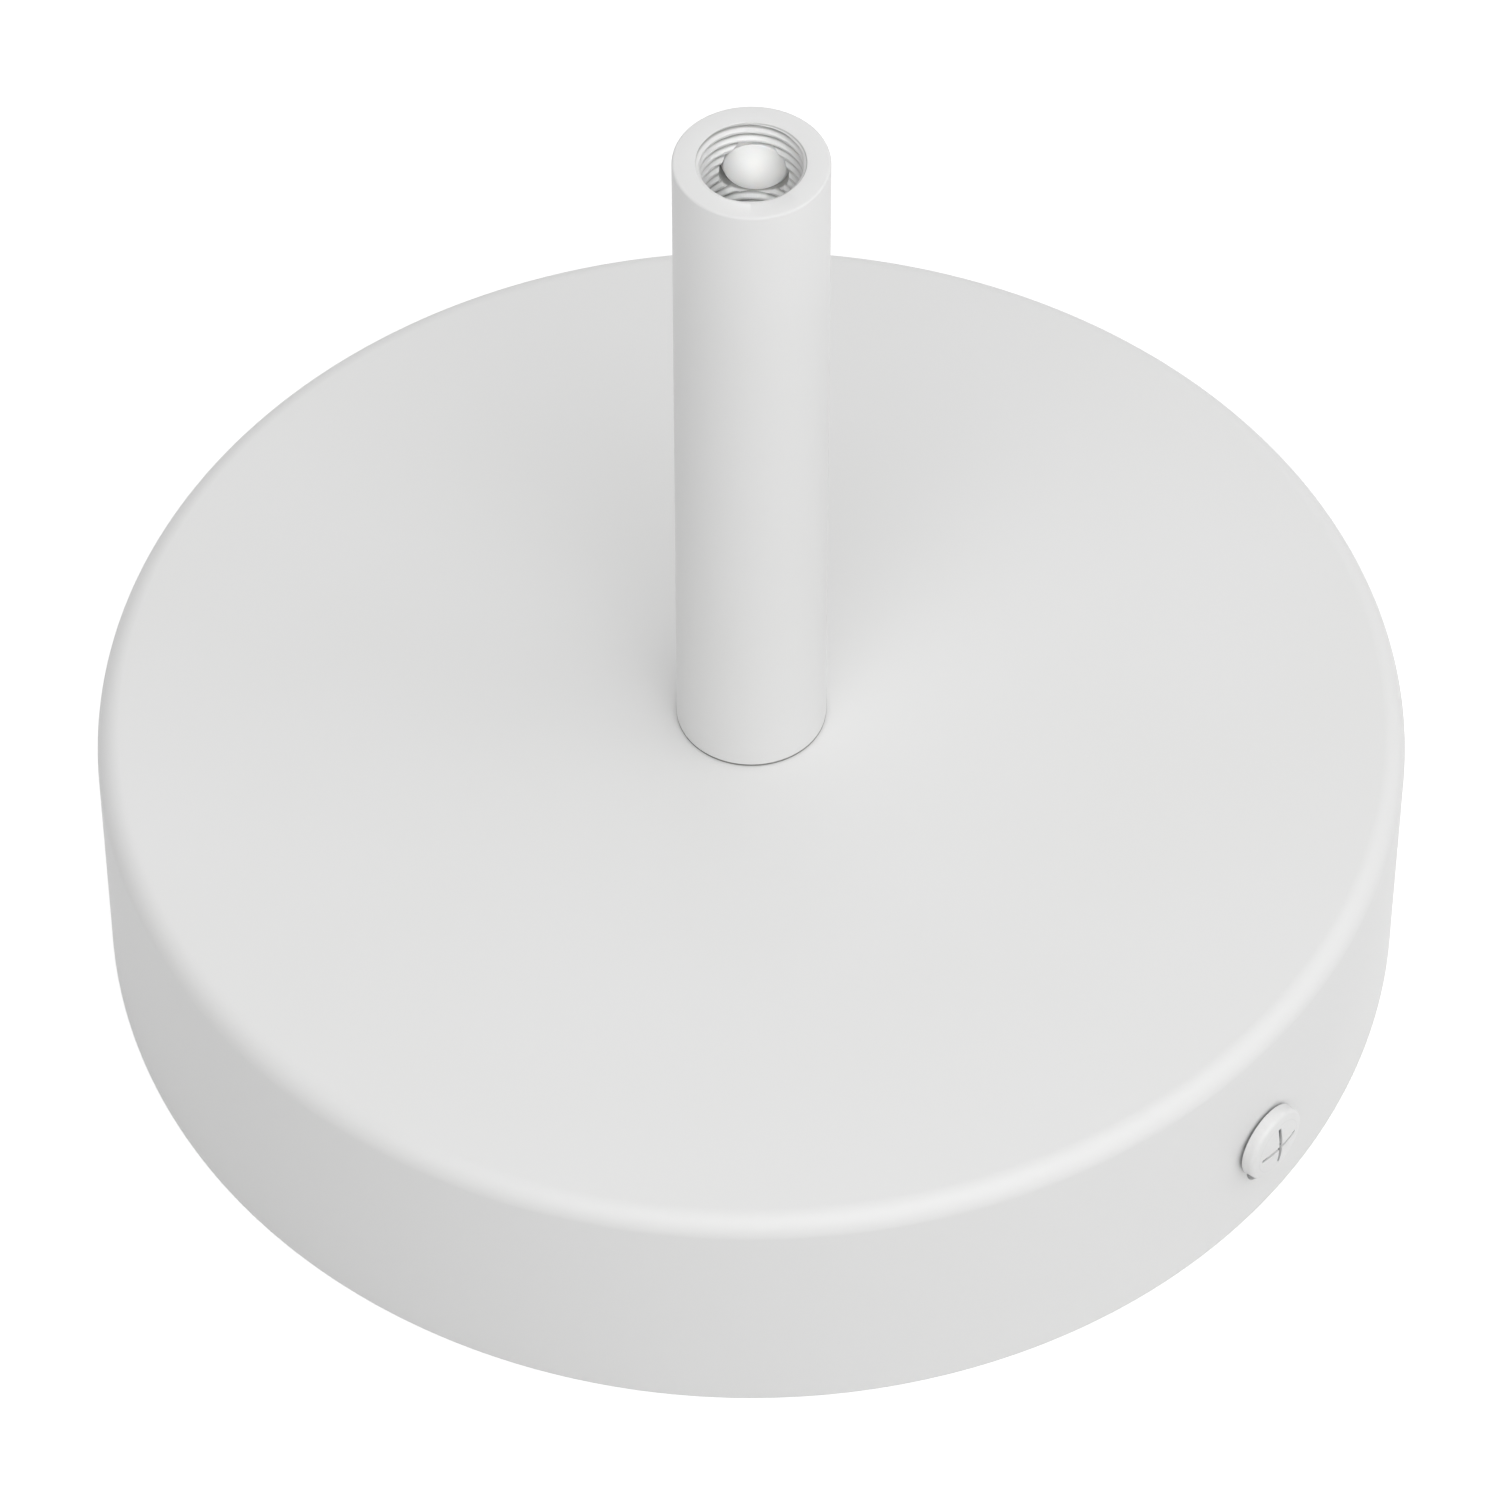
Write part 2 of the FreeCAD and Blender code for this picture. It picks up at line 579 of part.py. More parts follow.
def make_pieces():
    """Every piece of the rose by name, each a closed solid in its place."""
    pieces = {
        "rose_cup": make_rose_cup(),
        "cord_grip_tube": make_cord_grip_tube(),
        "cord_grip_screw": make_cord_grip_screw(),
        "threaded_nipple": make_threaded_nipple(),
        "lock_washer": make_lock_washer(),
        "nipple_nut": make_nipple_nut(),
        "mounting_bracket": make_mounting_bracket(),
        "side_screw_right": make_side_screw(1),
        "side_screw_left": make_side_screw(-1),
        "earth_screw": make_earth_screw(),
        "earth_washer": make_earth_washer(),
        "earth_spring_washer": make_earth_spring_washer(),
        "terminal_block": make_terminal_block(),
    }
    screw_number = 0
    for pole, place in enumerate(POLE_PLACES, start=1):
        pieces[f"terminal_sleeve_{pole}"] = make_terminal_sleeve(place)
        for side in CLAMP_SIDES:
            screw_number += 1
            pieces[f"terminal_screw_{screw_number}"] = make_terminal_screw(place, side)
    for web, place in enumerate(WEB_PLACES, start=1):
        pieces[f"block_screw_{web}"] = make_block_screw(place)
    return pieces


os.makedirs("parts", exist_ok=True)
for name, piece in make_pieces().items():
    piece.exportStep(f"parts/{name}.step")
    print(name, "solids", len(piece.Solids), "valid", piece.isValid(), "volume", round(piece.Volume, 2))
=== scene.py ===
# %% [markdown]
# # A white metal ceiling rose
# A ceiling rose covers the wiring where a pendant lamp hangs. This one is a flat spun cup with a
# long cord grip tube at its centre and a screw in each side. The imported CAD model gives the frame:
# every piece below is put where its CAD node is, in metres, and moves with that node's body.

import json
import math
from functools import partial

import bmesh
import bpy
from mathutils import Matrix, Vector


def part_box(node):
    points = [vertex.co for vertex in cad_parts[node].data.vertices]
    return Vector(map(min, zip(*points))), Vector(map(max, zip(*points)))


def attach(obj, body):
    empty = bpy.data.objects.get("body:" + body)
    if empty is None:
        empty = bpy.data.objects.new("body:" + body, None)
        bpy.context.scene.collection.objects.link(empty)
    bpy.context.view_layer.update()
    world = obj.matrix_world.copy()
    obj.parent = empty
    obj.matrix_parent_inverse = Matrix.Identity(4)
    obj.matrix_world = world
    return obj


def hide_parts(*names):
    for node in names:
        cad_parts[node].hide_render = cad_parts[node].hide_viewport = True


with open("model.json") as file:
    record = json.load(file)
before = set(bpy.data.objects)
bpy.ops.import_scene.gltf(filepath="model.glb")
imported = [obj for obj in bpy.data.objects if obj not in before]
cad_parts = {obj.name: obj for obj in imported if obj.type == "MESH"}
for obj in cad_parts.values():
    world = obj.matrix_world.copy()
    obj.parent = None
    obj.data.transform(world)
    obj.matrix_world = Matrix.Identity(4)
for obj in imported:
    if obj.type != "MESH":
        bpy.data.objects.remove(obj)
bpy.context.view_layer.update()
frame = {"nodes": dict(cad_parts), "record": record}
MM = 0.001


def in_mm(values):
    """Metres as rounded millimetres, to print."""
    return [round(value / MM, 2) for value in values]


# %% [markdown]
# ## Sizes that shapes and finishes share
# The coat and the screw paint have shade painted into narrow gaps, grooves and along a sharp edge,
# so a finish has to know where the edges and gaps are. Those sizes, all in millimetres, come before
# the materials.

# %% Shared sizes
CUP_HEIGHT = 25.0
TUBE_RADIUS = 6.85
TUBE_TOP = 95.8
TUBE_STEP = 0.17
MOUTH_RADIUS = 4.8
THREAD_RADIUS = 4.5
THREAD_LOW = 83.8
THREAD_HIGH = 95.5
HEAD_SEAT = 60.1
HEAD_UNDERCUT = 0.15
HEAD_TOP = 1.8
SCREW_HEIGHT = 10.3
print("tube", 2 * TUBE_RADIUS, "mm across and", round(TUBE_TOP - CUP_HEIGHT, 1), "mm long")

# %% [markdown]
# ## Colours and nodes
# Colours are written as the hex values that a colour picker shows. Blender's shaders work in linear
# light, so one function turns a hex value to linear. Another adds a node with its settings and
# links, which keeps each material as short as its idea.

# %% Colour and node helpers
def linear(hex_value):
    """Linear colour with full alpha from an sRGB hex value such as "E6E6E6"."""
    channels = [int(hex_value[index:index + 2], 16) / 255 for index in (0, 2, 4)]
    curve = [c / 12.92 if c <= 0.04045 else ((c + 0.055) / 1.055) ** 2.4 for c in channels]
    return (*curve, 1.0)


def add_node(tree, kind, inputs=None, **settings):
    """Adds a node. An input is given by name or number, as a value or as a socket to link."""
    node = tree.nodes.new(kind)
    for name, value in settings.items():
        setattr(node, name, value)
    for key, value in (inputs or {}).items():
        if isinstance(value, bpy.types.NodeSocket):
            tree.links.new(value, node.inputs[key])
        else:
            node.inputs[key].default_value = value
    return node


def new_finish(name):
    """An empty material with its object coordinates and its shader."""
    material = bpy.data.materials.new(name)
    material.use_nodes = True
    tree = material.node_tree
    tree.nodes.clear()
    place = add_node(tree, "ShaderNodeTexCoord").outputs["Object"]
    shader = add_node(tree, "ShaderNodeBsdfPrincipled")
    add_node(tree, "ShaderNodeOutputMaterial", {"Surface": shader.outputs["BSDF"]})
    return material, tree, place, shader


def per_metre(size_mm):
    """Texture scale at which a pattern's grains are this many millimetres across."""
    return 1.0 / (size_mm * MM)


def math_node(tree, operation, first, second=0.0):
    """Output of one sum on values or sockets."""
    return add_node(tree, "ShaderNodeMath", {0: first, 1: second}, operation=operation).outputs[0]


def vector_node(tree, operation, first, second=(0, 0, 0), output="Vector"):
    """Output of one sum on vectors or sockets."""
    node = add_node(tree, "ShaderNodeVectorMath", {0: first, 1: second}, operation=operation)
    return node.outputs[output]


def blend(tree, share, first, second):
    """Colour mixed from two, by a share that is a socket."""
    inputs = {"Factor": share, "A": first, "B": second}
    return add_node(tree, "ShaderNodeMix", inputs, data_type="RGBA").outputs[2]


def roughness_from(tree, pattern, low, high):
    """Roughness that follows the middle of a noise pattern from low to high."""
    return add_node(tree, "ShaderNodeMapRange", {
        "Value": pattern.outputs["Fac"], "From Min": 0.3, "From Max": 0.7,
        "To Min": low, "To Max": high}).outputs["Result"]


def connect(tree, shader, colour, roughness, relief):
    """Links a finish's colour, roughness and bump to its shader."""
    tree.links.new(colour, shader.inputs["Base Color"])
    tree.links.new(roughness, shader.inputs["Roughness"])
    tree.links.new(relief.outputs["Normal"], shader.inputs["Normal"])


def where(tree, *limits, strength=1.0):
    """Mask of a region. Each limit is a value, its size in mm where the mask is 0 and where 1."""
    mask = strength
    for value, none_mm, full_mm in limits:
        fade = add_node(tree, "ShaderNodeMapRange", {
            "Value": value, "From Min": none_mm * MM, "From Max": full_mm * MM})
        mask = math_node(tree, "MULTIPLY", fade.outputs["Result"], mask)
    return mask


def either(tree, first, second):
    """The stronger of two masks."""
    return math_node(tree, "MAXIMUM", first, second)


print("E6E6E6 in linear light:", [round(value, 3) for value in linear("E6E6E6")[:3]])

# %% [markdown]
# ## White powder coat
# The cup and the tube are steel with a satin polyester powder coat. The powder melts and levels in
# an oven, which leaves a film with a very shallow orange peel, about a millimetre from bump to
# bump, and a finer grain on it. The eye reads it as a soft, even white whose highlights spread
# wide. Noise at two real sizes drives one bump each, and a slow noise shifts the gloss a little.
# Shade is painted into the coat as a steel grey where light hardly reaches: in the roots of the
# tube's thread, in its cross hole and in the step under the tube, and as a painted dark line at the
# sharp edge of the mouth. Distance from the axis and height tell the shader where that is.

# %% Powder coat material
PEEL_SIZE = 1.1
GRAIN_SIZE = 0.22


def make_powder_coat():
    """Satin white polyester powder coat on steel, with shade painted grey into its grooves and along
    the mouth's edge.
    """
    material, tree, place, shader = new_finish("satin_powder_coat")
    peel = add_node(tree, "ShaderNodeTexNoise", {
        "Vector": place, "Scale": per_metre(PEEL_SIZE), "Detail": 1.5, "Roughness": 0.45})
    grain = add_node(tree, "ShaderNodeTexNoise", {
        "Vector": place, "Scale": per_metre(GRAIN_SIZE), "Detail": 2.0, "Roughness": 0.6})
    drift = add_node(tree, "ShaderNodeTexNoise", {
        "Vector": place, "Scale": per_metre(28.0), "Detail": 2.0, "Roughness": 0.5})
    grain_bump = add_node(tree, "ShaderNodeBump", {
        "Height": grain.outputs["Fac"], "Strength": 0.16, "Distance": 0.010 * MM})
    peel_bump = add_node(tree, "ShaderNodeBump", {
        "Height": peel.outputs["Fac"], "Strength": 0.22, "Distance": 0.030 * MM,
        "Normal": grain_bump.outputs["Normal"]})
    tone = blend(tree, drift.outputs["Fac"], linear("E5E5E4"), linear("E8E8E8"))
    gloss = roughness_from(tree, drift, 0.44, 0.50)

    # Where shade is painted grey, from the distance to the axis and the height.
    flat = vector_node(tree, "MULTIPLY", place, (1, 1, 0))
    reach = vector_node(tree, "LENGTH", flat, output="Value")
    height = add_node(tree, "ShaderNodeSeparateXYZ", {0: place}).outputs["Z"]
    step_top = CUP_HEIGHT + TUBE_STEP
    # Painted shade in the thread roots and the cross hole.
    root_and_hole_shade = where(
        tree, (reach, THREAD_RADIUS + 0.24, THREAD_RADIUS + 0.42),
        (reach, TUBE_RADIUS - 0.05, TUBE_RADIUS - 0.35),
        (height, THREAD_LOW, THREAD_LOW + 0.2), (height, THREAD_HIGH + 0.08, THREAD_HIGH))
    # A painted dark line at the sharp edge of the mouth.
    edge = where(
        tree, (reach, MOUTH_RADIUS - 0.01, MOUTH_RADIUS - 0.05),
        (height, TUBE_TOP - 0.14, TUBE_TOP - 0.10), strength=0.7)
    # Painted shade in the step under the tube.
    step = where(
        tree, (reach, TUBE_RADIUS + 0.01, TUBE_RADIUS - 0.03),
        (height, CUP_HEIGHT - 0.1, CUP_HEIGHT - 0.05), (height, step_top + 0.03, step_top + 0.01))
    # All the painted shade, turned to a steel grey in the colour below.
    steel_grey_shade = either(tree, either(tree, root_and_hole_shade, edge), step)
    connect(tree, shader, blend(tree, steel_grey_shade, tone, linear("A4A4A2")), gloss, peel_bump)
    shader.inputs["IOR"].default_value = 1.5
    return material


powder_coat = make_powder_coat()
print("powder coat: peel", PEEL_SIZE, "mm, grain", GRAIN_SIZE, "mm")

# %% [markdown]
# ## White painted screws
# The heads of the two side screws are painted to match the cup. Wet paint lies thinner than powder
# and flows out more, so it is a little glossier and shows the forging marks of the head faintly.
# Under the head the zinc plated steel is left bare, and its grey also serves as painted shade in the
# gap between head and cup. The cross recess is painted grey as painted shade.

# %% Screw paint material
MARK_SIZE = 0.5
RECESS_REACH = 2.8


def make_screw_paint():
    """White paint on a forged steel screw, with painted shade in its recess and under its head."""
    material, tree, place, shader = new_finish("white_screw_paint")
    marks = add_node(tree, "ShaderNodeTexNoise", {
        "Vector": place, "Scale": per_metre(MARK_SIZE), "Detail": 3.0, "Roughness": 0.55})
    relief = add_node(tree, "ShaderNodeBump", {
        "Height": marks.outputs["Fac"], "Strength": 0.25, "Distance": 0.012 * MM})
    tone = blend(tree, marks.outputs["Fac"], linear("E2E2E1"), linear("E8E8E8"))
    gloss = roughness_from(tree, marks, 0.34, 0.44)

    # Bare steel, whose grey also paints shade into the gap, lies inside a distance along X; the
    # painted shade of the recess lies also near the axis of the screw.
    across = add_node(tree, "ShaderNodeSeparateXYZ", {0: place}).outputs["X"]
    outward = math_node(tree, "ABSOLUTE", across)
    level = vector_node(tree, "ADD", place, (0, 0, -SCREW_HEIGHT * MM))
    aside = vector_node(tree, "MULTIPLY", level, (0, 1, 1))
    reach = vector_node(tree, "LENGTH", aside, output="Value")
    under_head = HEAD_SEAT + HEAD_UNDERCUT
    below_dome = HEAD_SEAT + HEAD_TOP - 0.3
    # Bare zinc under the head, which is also painted shade in the gap.
    steel_grey_shade = where(tree, (outward, under_head + 0.02, under_head - 0.01))
    # Painted shade in the cross recess.
    recess = where(
        tree, (outward, below_dome + 0.02, below_dome - 0.02),
        (reach, RECESS_REACH, RECESS_REACH - 0.2))
    painted = blend(tree, either(tree, steel_grey_shade, recess), tone, linear("A2A6A9"))
    connect(tree, shader, painted, gloss, relief)
    tree.links.new(steel_grey_shade, shader.inputs["Metallic"])
    shader.inputs["IOR"].default_value = 1.5
    return material


screw_paint = make_screw_paint()
print("screw paint: marks", MARK_SIZE, "mm")

# %% [markdown]
# ## Moulded nylon and polyamide
# The grip screw is moulded white nylon and the terminal block natural polyamide. Light enters both
# a little way and comes back softened, so edges glow slightly and shadows are never quite black.
# Natural polyamide is a milky yellow-white, because nothing has been added to colour it. The
# mould's spark-eroded walls leave a fine even grain.

# %% Nylon materials
def make_moulded(name, dark_hex, light_hex, depth_mm, grain_mm):
    """Moulded polyamide that lets light in by the given depth."""
    material, tree, place, shader = new_finish(name)
    cloud = add_node(tree, "ShaderNodeTexNoise", {
        "Vector": place, "Scale": per_metre(4.0), "Detail": 2.0, "Roughness": 0.5})
    grain = add_node(tree, "ShaderNodeTexNoise", {
        "Vector": place, "Scale": per_metre(grain_mm), "Detail": 2.0, "Roughness": 0.6})
    relief = add_node(tree, "ShaderNodeBump", {
        "Height": grain.outputs["Fac"], "Strength": 0.3, "Distance": 0.012 * MM})
    tone = blend(tree, cloud.outputs["Fac"], linear(dark_hex), linear(light_hex))
    connect(tree, shader, tone, roughness_from(tree, grain, 0.38, 0.50), relief)
    shader.inputs["IOR"].default_value = 1.53
    shader.inputs["Subsurface Weight"].default_value = 0.2
    shader.inputs["Subsurface Radius"].default_value = (1.0, 0.9, 0.8)
    shader.inputs["Subsurface Scale"].default_value = depth_mm * MM
    return material


nylon = make_moulded("moulded_white_nylon", "F5F5F3", "F9F9F8", 0.4, 0.25)
polyamide = make_moulded("moulded_natural_polyamide", "DED8C4", "E9E4D3", 0.7, 0.3)
print("moulded materials:", nylon.name, "and", polyamide.name)

# %% [markdown]
# ## Zinc plated steel
# The bracket, the nipple and the small steel screws are bright zinc plated. The bath leaves a thin
# bluish-white metal film that follows the rolled steel under it: fine lines along the strip, and a
# soft cloudiness where the plating is thicker. The lines are noise that is stretched along X.

# %% Zinc material
LINE_SPACING = 0.16
LINE_LENGTH = 9.0


def make_zinc():
    """Bright electroplated zinc with a clear passivation."""
    material, tree, place, shader = new_finish("bright_zinc_plating")
    fine = per_metre(LINE_SPACING)
    stretch = add_node(tree, "ShaderNodeMapping", {
        "Vector": place, "Scale": (per_metre(LINE_LENGTH), fine, fine)})
    lines = add_node(tree, "ShaderNodeTexNoise", {
        "Vector": stretch.outputs["Vector"], "Scale": 1.0, "Detail": 3.0, "Roughness": 0.6})
    cloud = add_node(tree, "ShaderNodeTexNoise", {
        "Vector": place, "Scale": per_metre(5.0), "Detail": 3.0, "Roughness": 0.55})
    relief = add_node(tree, "ShaderNodeBump", {
        "Height": lines.outputs["Fac"], "Strength": 0.35, "Distance": 0.012 * MM})
    tone = blend(tree, cloud.outputs["Fac"], linear("AEB4B9"), linear("C9CDD0"))
    connect(tree, shader, tone, roughness_from(tree, cloud, 0.24, 0.38), relief)
    shader.inputs["Metallic"].default_value = 1.0
    return material


zinc = make_zinc()
print("zinc: rolling lines", LINE_SPACING, "mm apart")

# %% [markdown]
# ## Brass
# The sleeves and the earth terminal are free-cutting brass. A cutting tool leaves fine bands across
# the bar, and handling leaves a faint brown cast in places.

# %% Brass material
BAND_SPACING = 0.12
BANDS_PER_UNIT = 20.0


def make_brass():
    """Bright machined brass, slightly aged."""
    material, tree, place, shader = new_finish("machined_brass")
    bands = add_node(tree, "ShaderNodeTexWave", {
        "Vector": place, "Scale": per_metre(BAND_SPACING) / BANDS_PER_UNIT, "Distortion": 1.5,
        "Detail": 2.0}, bands_direction="Y")
    tarnish = add_node(tree, "ShaderNodeTexNoise", {
        "Vector": place, "Scale": per_metre(3.0), "Detail": 3.0, "Roughness": 0.6})
    relief = add_node(tree, "ShaderNodeBump", {
        "Height": bands.outputs["Fac"], "Strength": 0.3, "Distance": 0.006 * MM})
    tone = blend(tree, tarnish.outputs["Fac"], linear("B8924E"), linear("DDBE7A"))
    connect(tree, shader, tone, roughness_from(tree, tarnish, 0.36, 0.22), relief)
    shader.inputs["Metallic"].default_value = 1.0
    return material


brass = make_brass()
SLOT_FINISHES = {
    "white_powder_coat": powder_coat,
    "white_painted_screw": screw_paint,
    "white_nylon": nylon,
    "zinc_plated_steel": zinc,
    "brass": brass,
    "natural_polyamide": polyamide,
}
record = frame["record"]
node_slots = {part["node"]: part["material_slot"] for part in record["subparts"]}
node_bodies = {
    node: body for body, nodes in record["behaviour"]["bodies"].items() for node in nodes}
print(len(SLOT_FINISHES), "finishes for", len(node_slots), "nodes")

# %% [markdown]
# ## Turning
# Most pieces of a ceiling rose are turned or spun, so they are made here as on a lathe: a flat
# outline of radius and height, with each corner rounded by its own radius, is swept round Z. Real
# edges are never sharp. The coat alone rounds them by a tenth of a millimetre, and that thin
# highlight is what makes an edge look like metal.

# %% Outline and lathe helpers
def soften(corners, fine=3, smooth=12):
    """Outline in mm through corners given as radius, height and the rounding of that corner."""
    outline = []
    for index, (radius, height, rounding) in enumerate(corners):
        corner = Vector((radius, height))
        if rounding == 0:
            outline.append(corner)
            continue
        back = (Vector(corners[index - 1][:2]) - corner).normalized()
        ahead = (Vector(corners[(index + 1) % len(corners)][:2]) - corner).normalized()
        half = back.angle(ahead) / 2
        centre = corner + (back + ahead).normalized() * rounding / math.sin(half)
        start = corner + back * rounding / math.tan(half) - centre
        end = corner + ahead * rounding / math.tan(half) - centre
        turn = start.angle_signed(end)
        steps = smooth if rounding > 0.3 else fine
        for step in range(steps + 1):
            angle = -turn * step / steps
            arm = Matrix.Rotation(angle, 2) @ start
            outline.append(centre + arm)
    return outline


def divide(outline, inner, outer, low, high, spacing):
    """The outline with rows added to its runs that lie between two radii and two heights."""
    slack = 0.001  # A vector keeps only seven digits, so its ends can lie just past the limits.
    divided = []
    for index, point in enumerate(outline):
        divided.append(point)
        following = outline[(index + 1) % len(outline)]
        between = all(
            inner - slack <= radius <= outer + slack and low - slack <= height <= high + slack
            for radius, height in (point, following))
        if between and abs(following.y - point.y) > spacing:
            rows = math.ceil(abs(following.y - point.y) / spacing)
            divided.extend(point.lerp(following, row / rows) for row in range(1, rows))
    return divided


def sharpen(mesh, angle=33.0):
    """Smooth shading everywhere but at edges that turn by more than the angle."""
    shaped = bmesh.new()
    shaped.from_mesh(mesh)
    for face in shaped.faces:
        face.smooth = True
    for edge in shaped.edges:
        edge.smooth = len(edge.link_faces) == 2 and edge.calc_face_angle(0.0) < math.radians(angle)
    shaped.to_mesh(mesh)
    shaped.free()


def new_piece(name, points, faces):
    """Object from points in mm and faces, its normals outwards."""
    mesh = bpy.data.meshes.new(name)
    mesh.from_pydata([Vector(point) * MM for point in points], [], faces)
    shaped = bmesh.new()
    shaped.from_mesh(mesh)
    bmesh.ops.recalc_face_normals(shaped, faces=shaped.faces)
    shaped.to_mesh(mesh)
    shaped.free()
    sharpen(mesh)
    piece = bpy.data.objects.new(name, mesh)
    bpy.context.scene.collection.objects.link(piece)
    return piece


def lathe(name, outline, segments):
    """Solid swept round Z. An outline that starts and ends on the axis closes there in poles."""
    points = []
    rings = []
    for radius, height in outline:
        first = len(points)
        if radius < 1e-6:
            points.append((0, 0, height))
            rings.append([first] * segments)
            continue
        for segment in range(segments):
            angle = 2 * math.pi * segment / segments
            points.append((radius * math.cos(angle), radius * math.sin(angle), height))
        rings.append(list(range(first, first + segments)))
    pairs = list(zip(rings, rings[1:]))
    if outline[0][0] > 1e-6:
        pairs.append((rings[-1], rings[0]))
    faces = []
    for low, high in pairs:
        for segment in range(segments):
            after = (segment + 1) % segments
            corners = [low[segment], low[after], high[after], high[segment]]
            faces.append(list(dict.fromkeys(corners)))
    return new_piece(name, points, faces)


print("outline test:", len(soften([(0, 0, 0), (5, 0, 0.2), (5, 3, 1.0), (0, 3, 0)])), "points")

# %% [markdown]
# ## Cutting and finishing
# A hole, a slot or a driver recess is cut with a Boolean, as a tool would cut it. A bevel then
# breaks the edges that the cut left, and weighted normals keep the flat faces flat. Each step is
# turned to a plain mesh at once, so that nothing is left live on a finished piece.

# %% Cutting and finishing helpers
def settle(piece):
    """Turns the piece and its modifiers to a plain mesh."""
    graph = bpy.context.evaluated_depsgraph_get()
    made = bpy.data.meshes.new_from_object(piece.evaluated_get(graph), depsgraph=graph)
    worn = piece.data
    piece.modifiers.clear()
    piece.data = made
    made.name = piece.name
    bpy.data.meshes.remove(worn)


def cut(piece, cutter, operation="DIFFERENCE"):
    """Cuts the piece with the cutter, which is used up."""
    saw = piece.modifiers.new("cut", "BOOLEAN")
    saw.operation = operation
    saw.solver = "EXACT"
    saw.object = cutter
    settle(piece)
    worn = cutter.data
    bpy.data.objects.remove(cutter)
    bpy.data.meshes.remove(worn)


def break_edges(piece, width_mm, angle=35.0, segments=3):
    """Rounds every edge that turns by more than the angle."""
    bevel = piece.modifiers.new("break", "BEVEL")
    bevel.width = width_mm * MM
    bevel.segments = segments
    bevel.limit_method = "ANGLE"
    bevel.angle_limit = math.radians(angle)
    bevel.harden_normals = False
    settle(piece)
    sharpen(piece.data, 40.0)
    weigh = piece.modifiers.new("weigh", "WEIGHTED_NORMAL")
    weigh.keep_sharp = True
    settle(piece)


def place(piece, *moves):
    """Puts the piece in its place by moving its mesh. The last move given is made first."""
    whole = Matrix.Identity(4)
    for move in moves:
        whole = whole @ move
    piece.data.transform(whole)


def shift(x, y, z):
    """Move by millimetres."""
    return Matrix.Translation(Vector((x, y, z)) * MM)


def turn(degrees, axis):
    """Turn about an axis of the frame."""
    return Matrix.Rotation(math.radians(degrees), 4, axis)


def stand_for(piece, *nodes):
    """The piece replaces CAD nodes: it takes their body and the finish of their slot."""
    slot = node_slots[nodes[0]]
    piece.data.materials.clear()
    piece.data.materials.append(SLOT_FINISHES[slot])
    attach(piece, node_bodies[nodes[0]])
    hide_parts(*nodes)
    print(piece.name, "stands for", ", ".join(nodes), "size in mm", in_mm(piece.dimensions))


def prism(name, outline, low, high):
    """Upright prism in mm between two heights from a flat outline."""
    count = len(outline)
    points = [(x, y, z) for z in (low, high) for x, y in outline]
    faces = []
    for index in range(count):
        after = (index + 1) % count
        faces.append([after, index, count + index, count + after])
    faces.append(list(range(count)))
    faces.append(list(range(count, 2 * count)))
    return new_piece(name, points, faces)


def bar(half_length, half_width):
    """Outline in mm of a bar along X, centred."""
    return [
        (-half_length, -half_width), (half_length, -half_width),
        (half_length, half_width), (-half_length, half_width)]


def round_points(points, turns):
    """Flat points repeated by equal turns round the centre."""
    outline = []
    for number in range(turns):
        angle = math.radians(360 / turns * number)
        sine, cosine = math.sin(angle), math.cos(angle)
        outline.extend((x * cosine - y * sine, x * sine + y * cosine) for x, y in points)
    return outline


def oblong(length, width, steps=24):
    """Outline in mm of a round-ended slot along X, centred."""
    outline = []
    radius = width / 2
    for centre, first in (((length - width) / 2, -90), ((width - length) / 2, 90)):
        for step in range(steps + 1):
            angle = math.radians(first + 180 * step / steps)
            outline.append((centre + radius * math.cos(angle), radius * math.sin(angle)))
    return outline


print("an oblong outline has", len(oblong(8.0, 4.4)), "points")

# %% [markdown]
# ## Screw threads with Geometry Nodes
# A thread follows a rule: at height z and angle a, the depth of the groove depends only on how far
# z / pitch - a / 360 is into a turn. So a node tree cuts it into any turned blank that has enough
# rows. Like a real tool it only takes material away: a point that the groove's trapezoid doesn't
# reach stays where it is, so a thread runs out by itself on a chamfer. The same tree cuts every
# screw here, and the mouth of the tube.

# %% Thread tree
def new_tool(name, *sizes):
    """Geometry Nodes tree that takes geometry, sizes and a material, and the sockets of those."""
    tree = bpy.data.node_groups.new(name, "GeometryNodeTree")
    tree.interface.new_socket("Geometry", in_out="OUTPUT", socket_type="NodeSocketGeometry")
    tree.interface.new_socket("Geometry", in_out="INPUT", socket_type="NodeSocketGeometry")
    for size in sizes:
        tree.interface.new_socket(size, in_out="INPUT", socket_type="NodeSocketFloat")
    tree.interface.new_socket("Material", in_out="INPUT", socket_type="NodeSocketMaterial")
    return tree, add_node(tree, "NodeGroupInput").outputs


def give_back(tree, last, material):
    """Ends a tree with real geometry that has the material."""
    real = add_node(tree, "GeometryNodeRealizeInstances", {"Geometry": last.outputs["Geometry"]})
    dressed = add_node(tree, "GeometryNodeSetMaterial", {
        "Geometry": real.outputs["Geometry"], "Material": material})
    add_node(tree, "NodeGroupOutput", {"Geometry": dressed.outputs["Geometry"]})


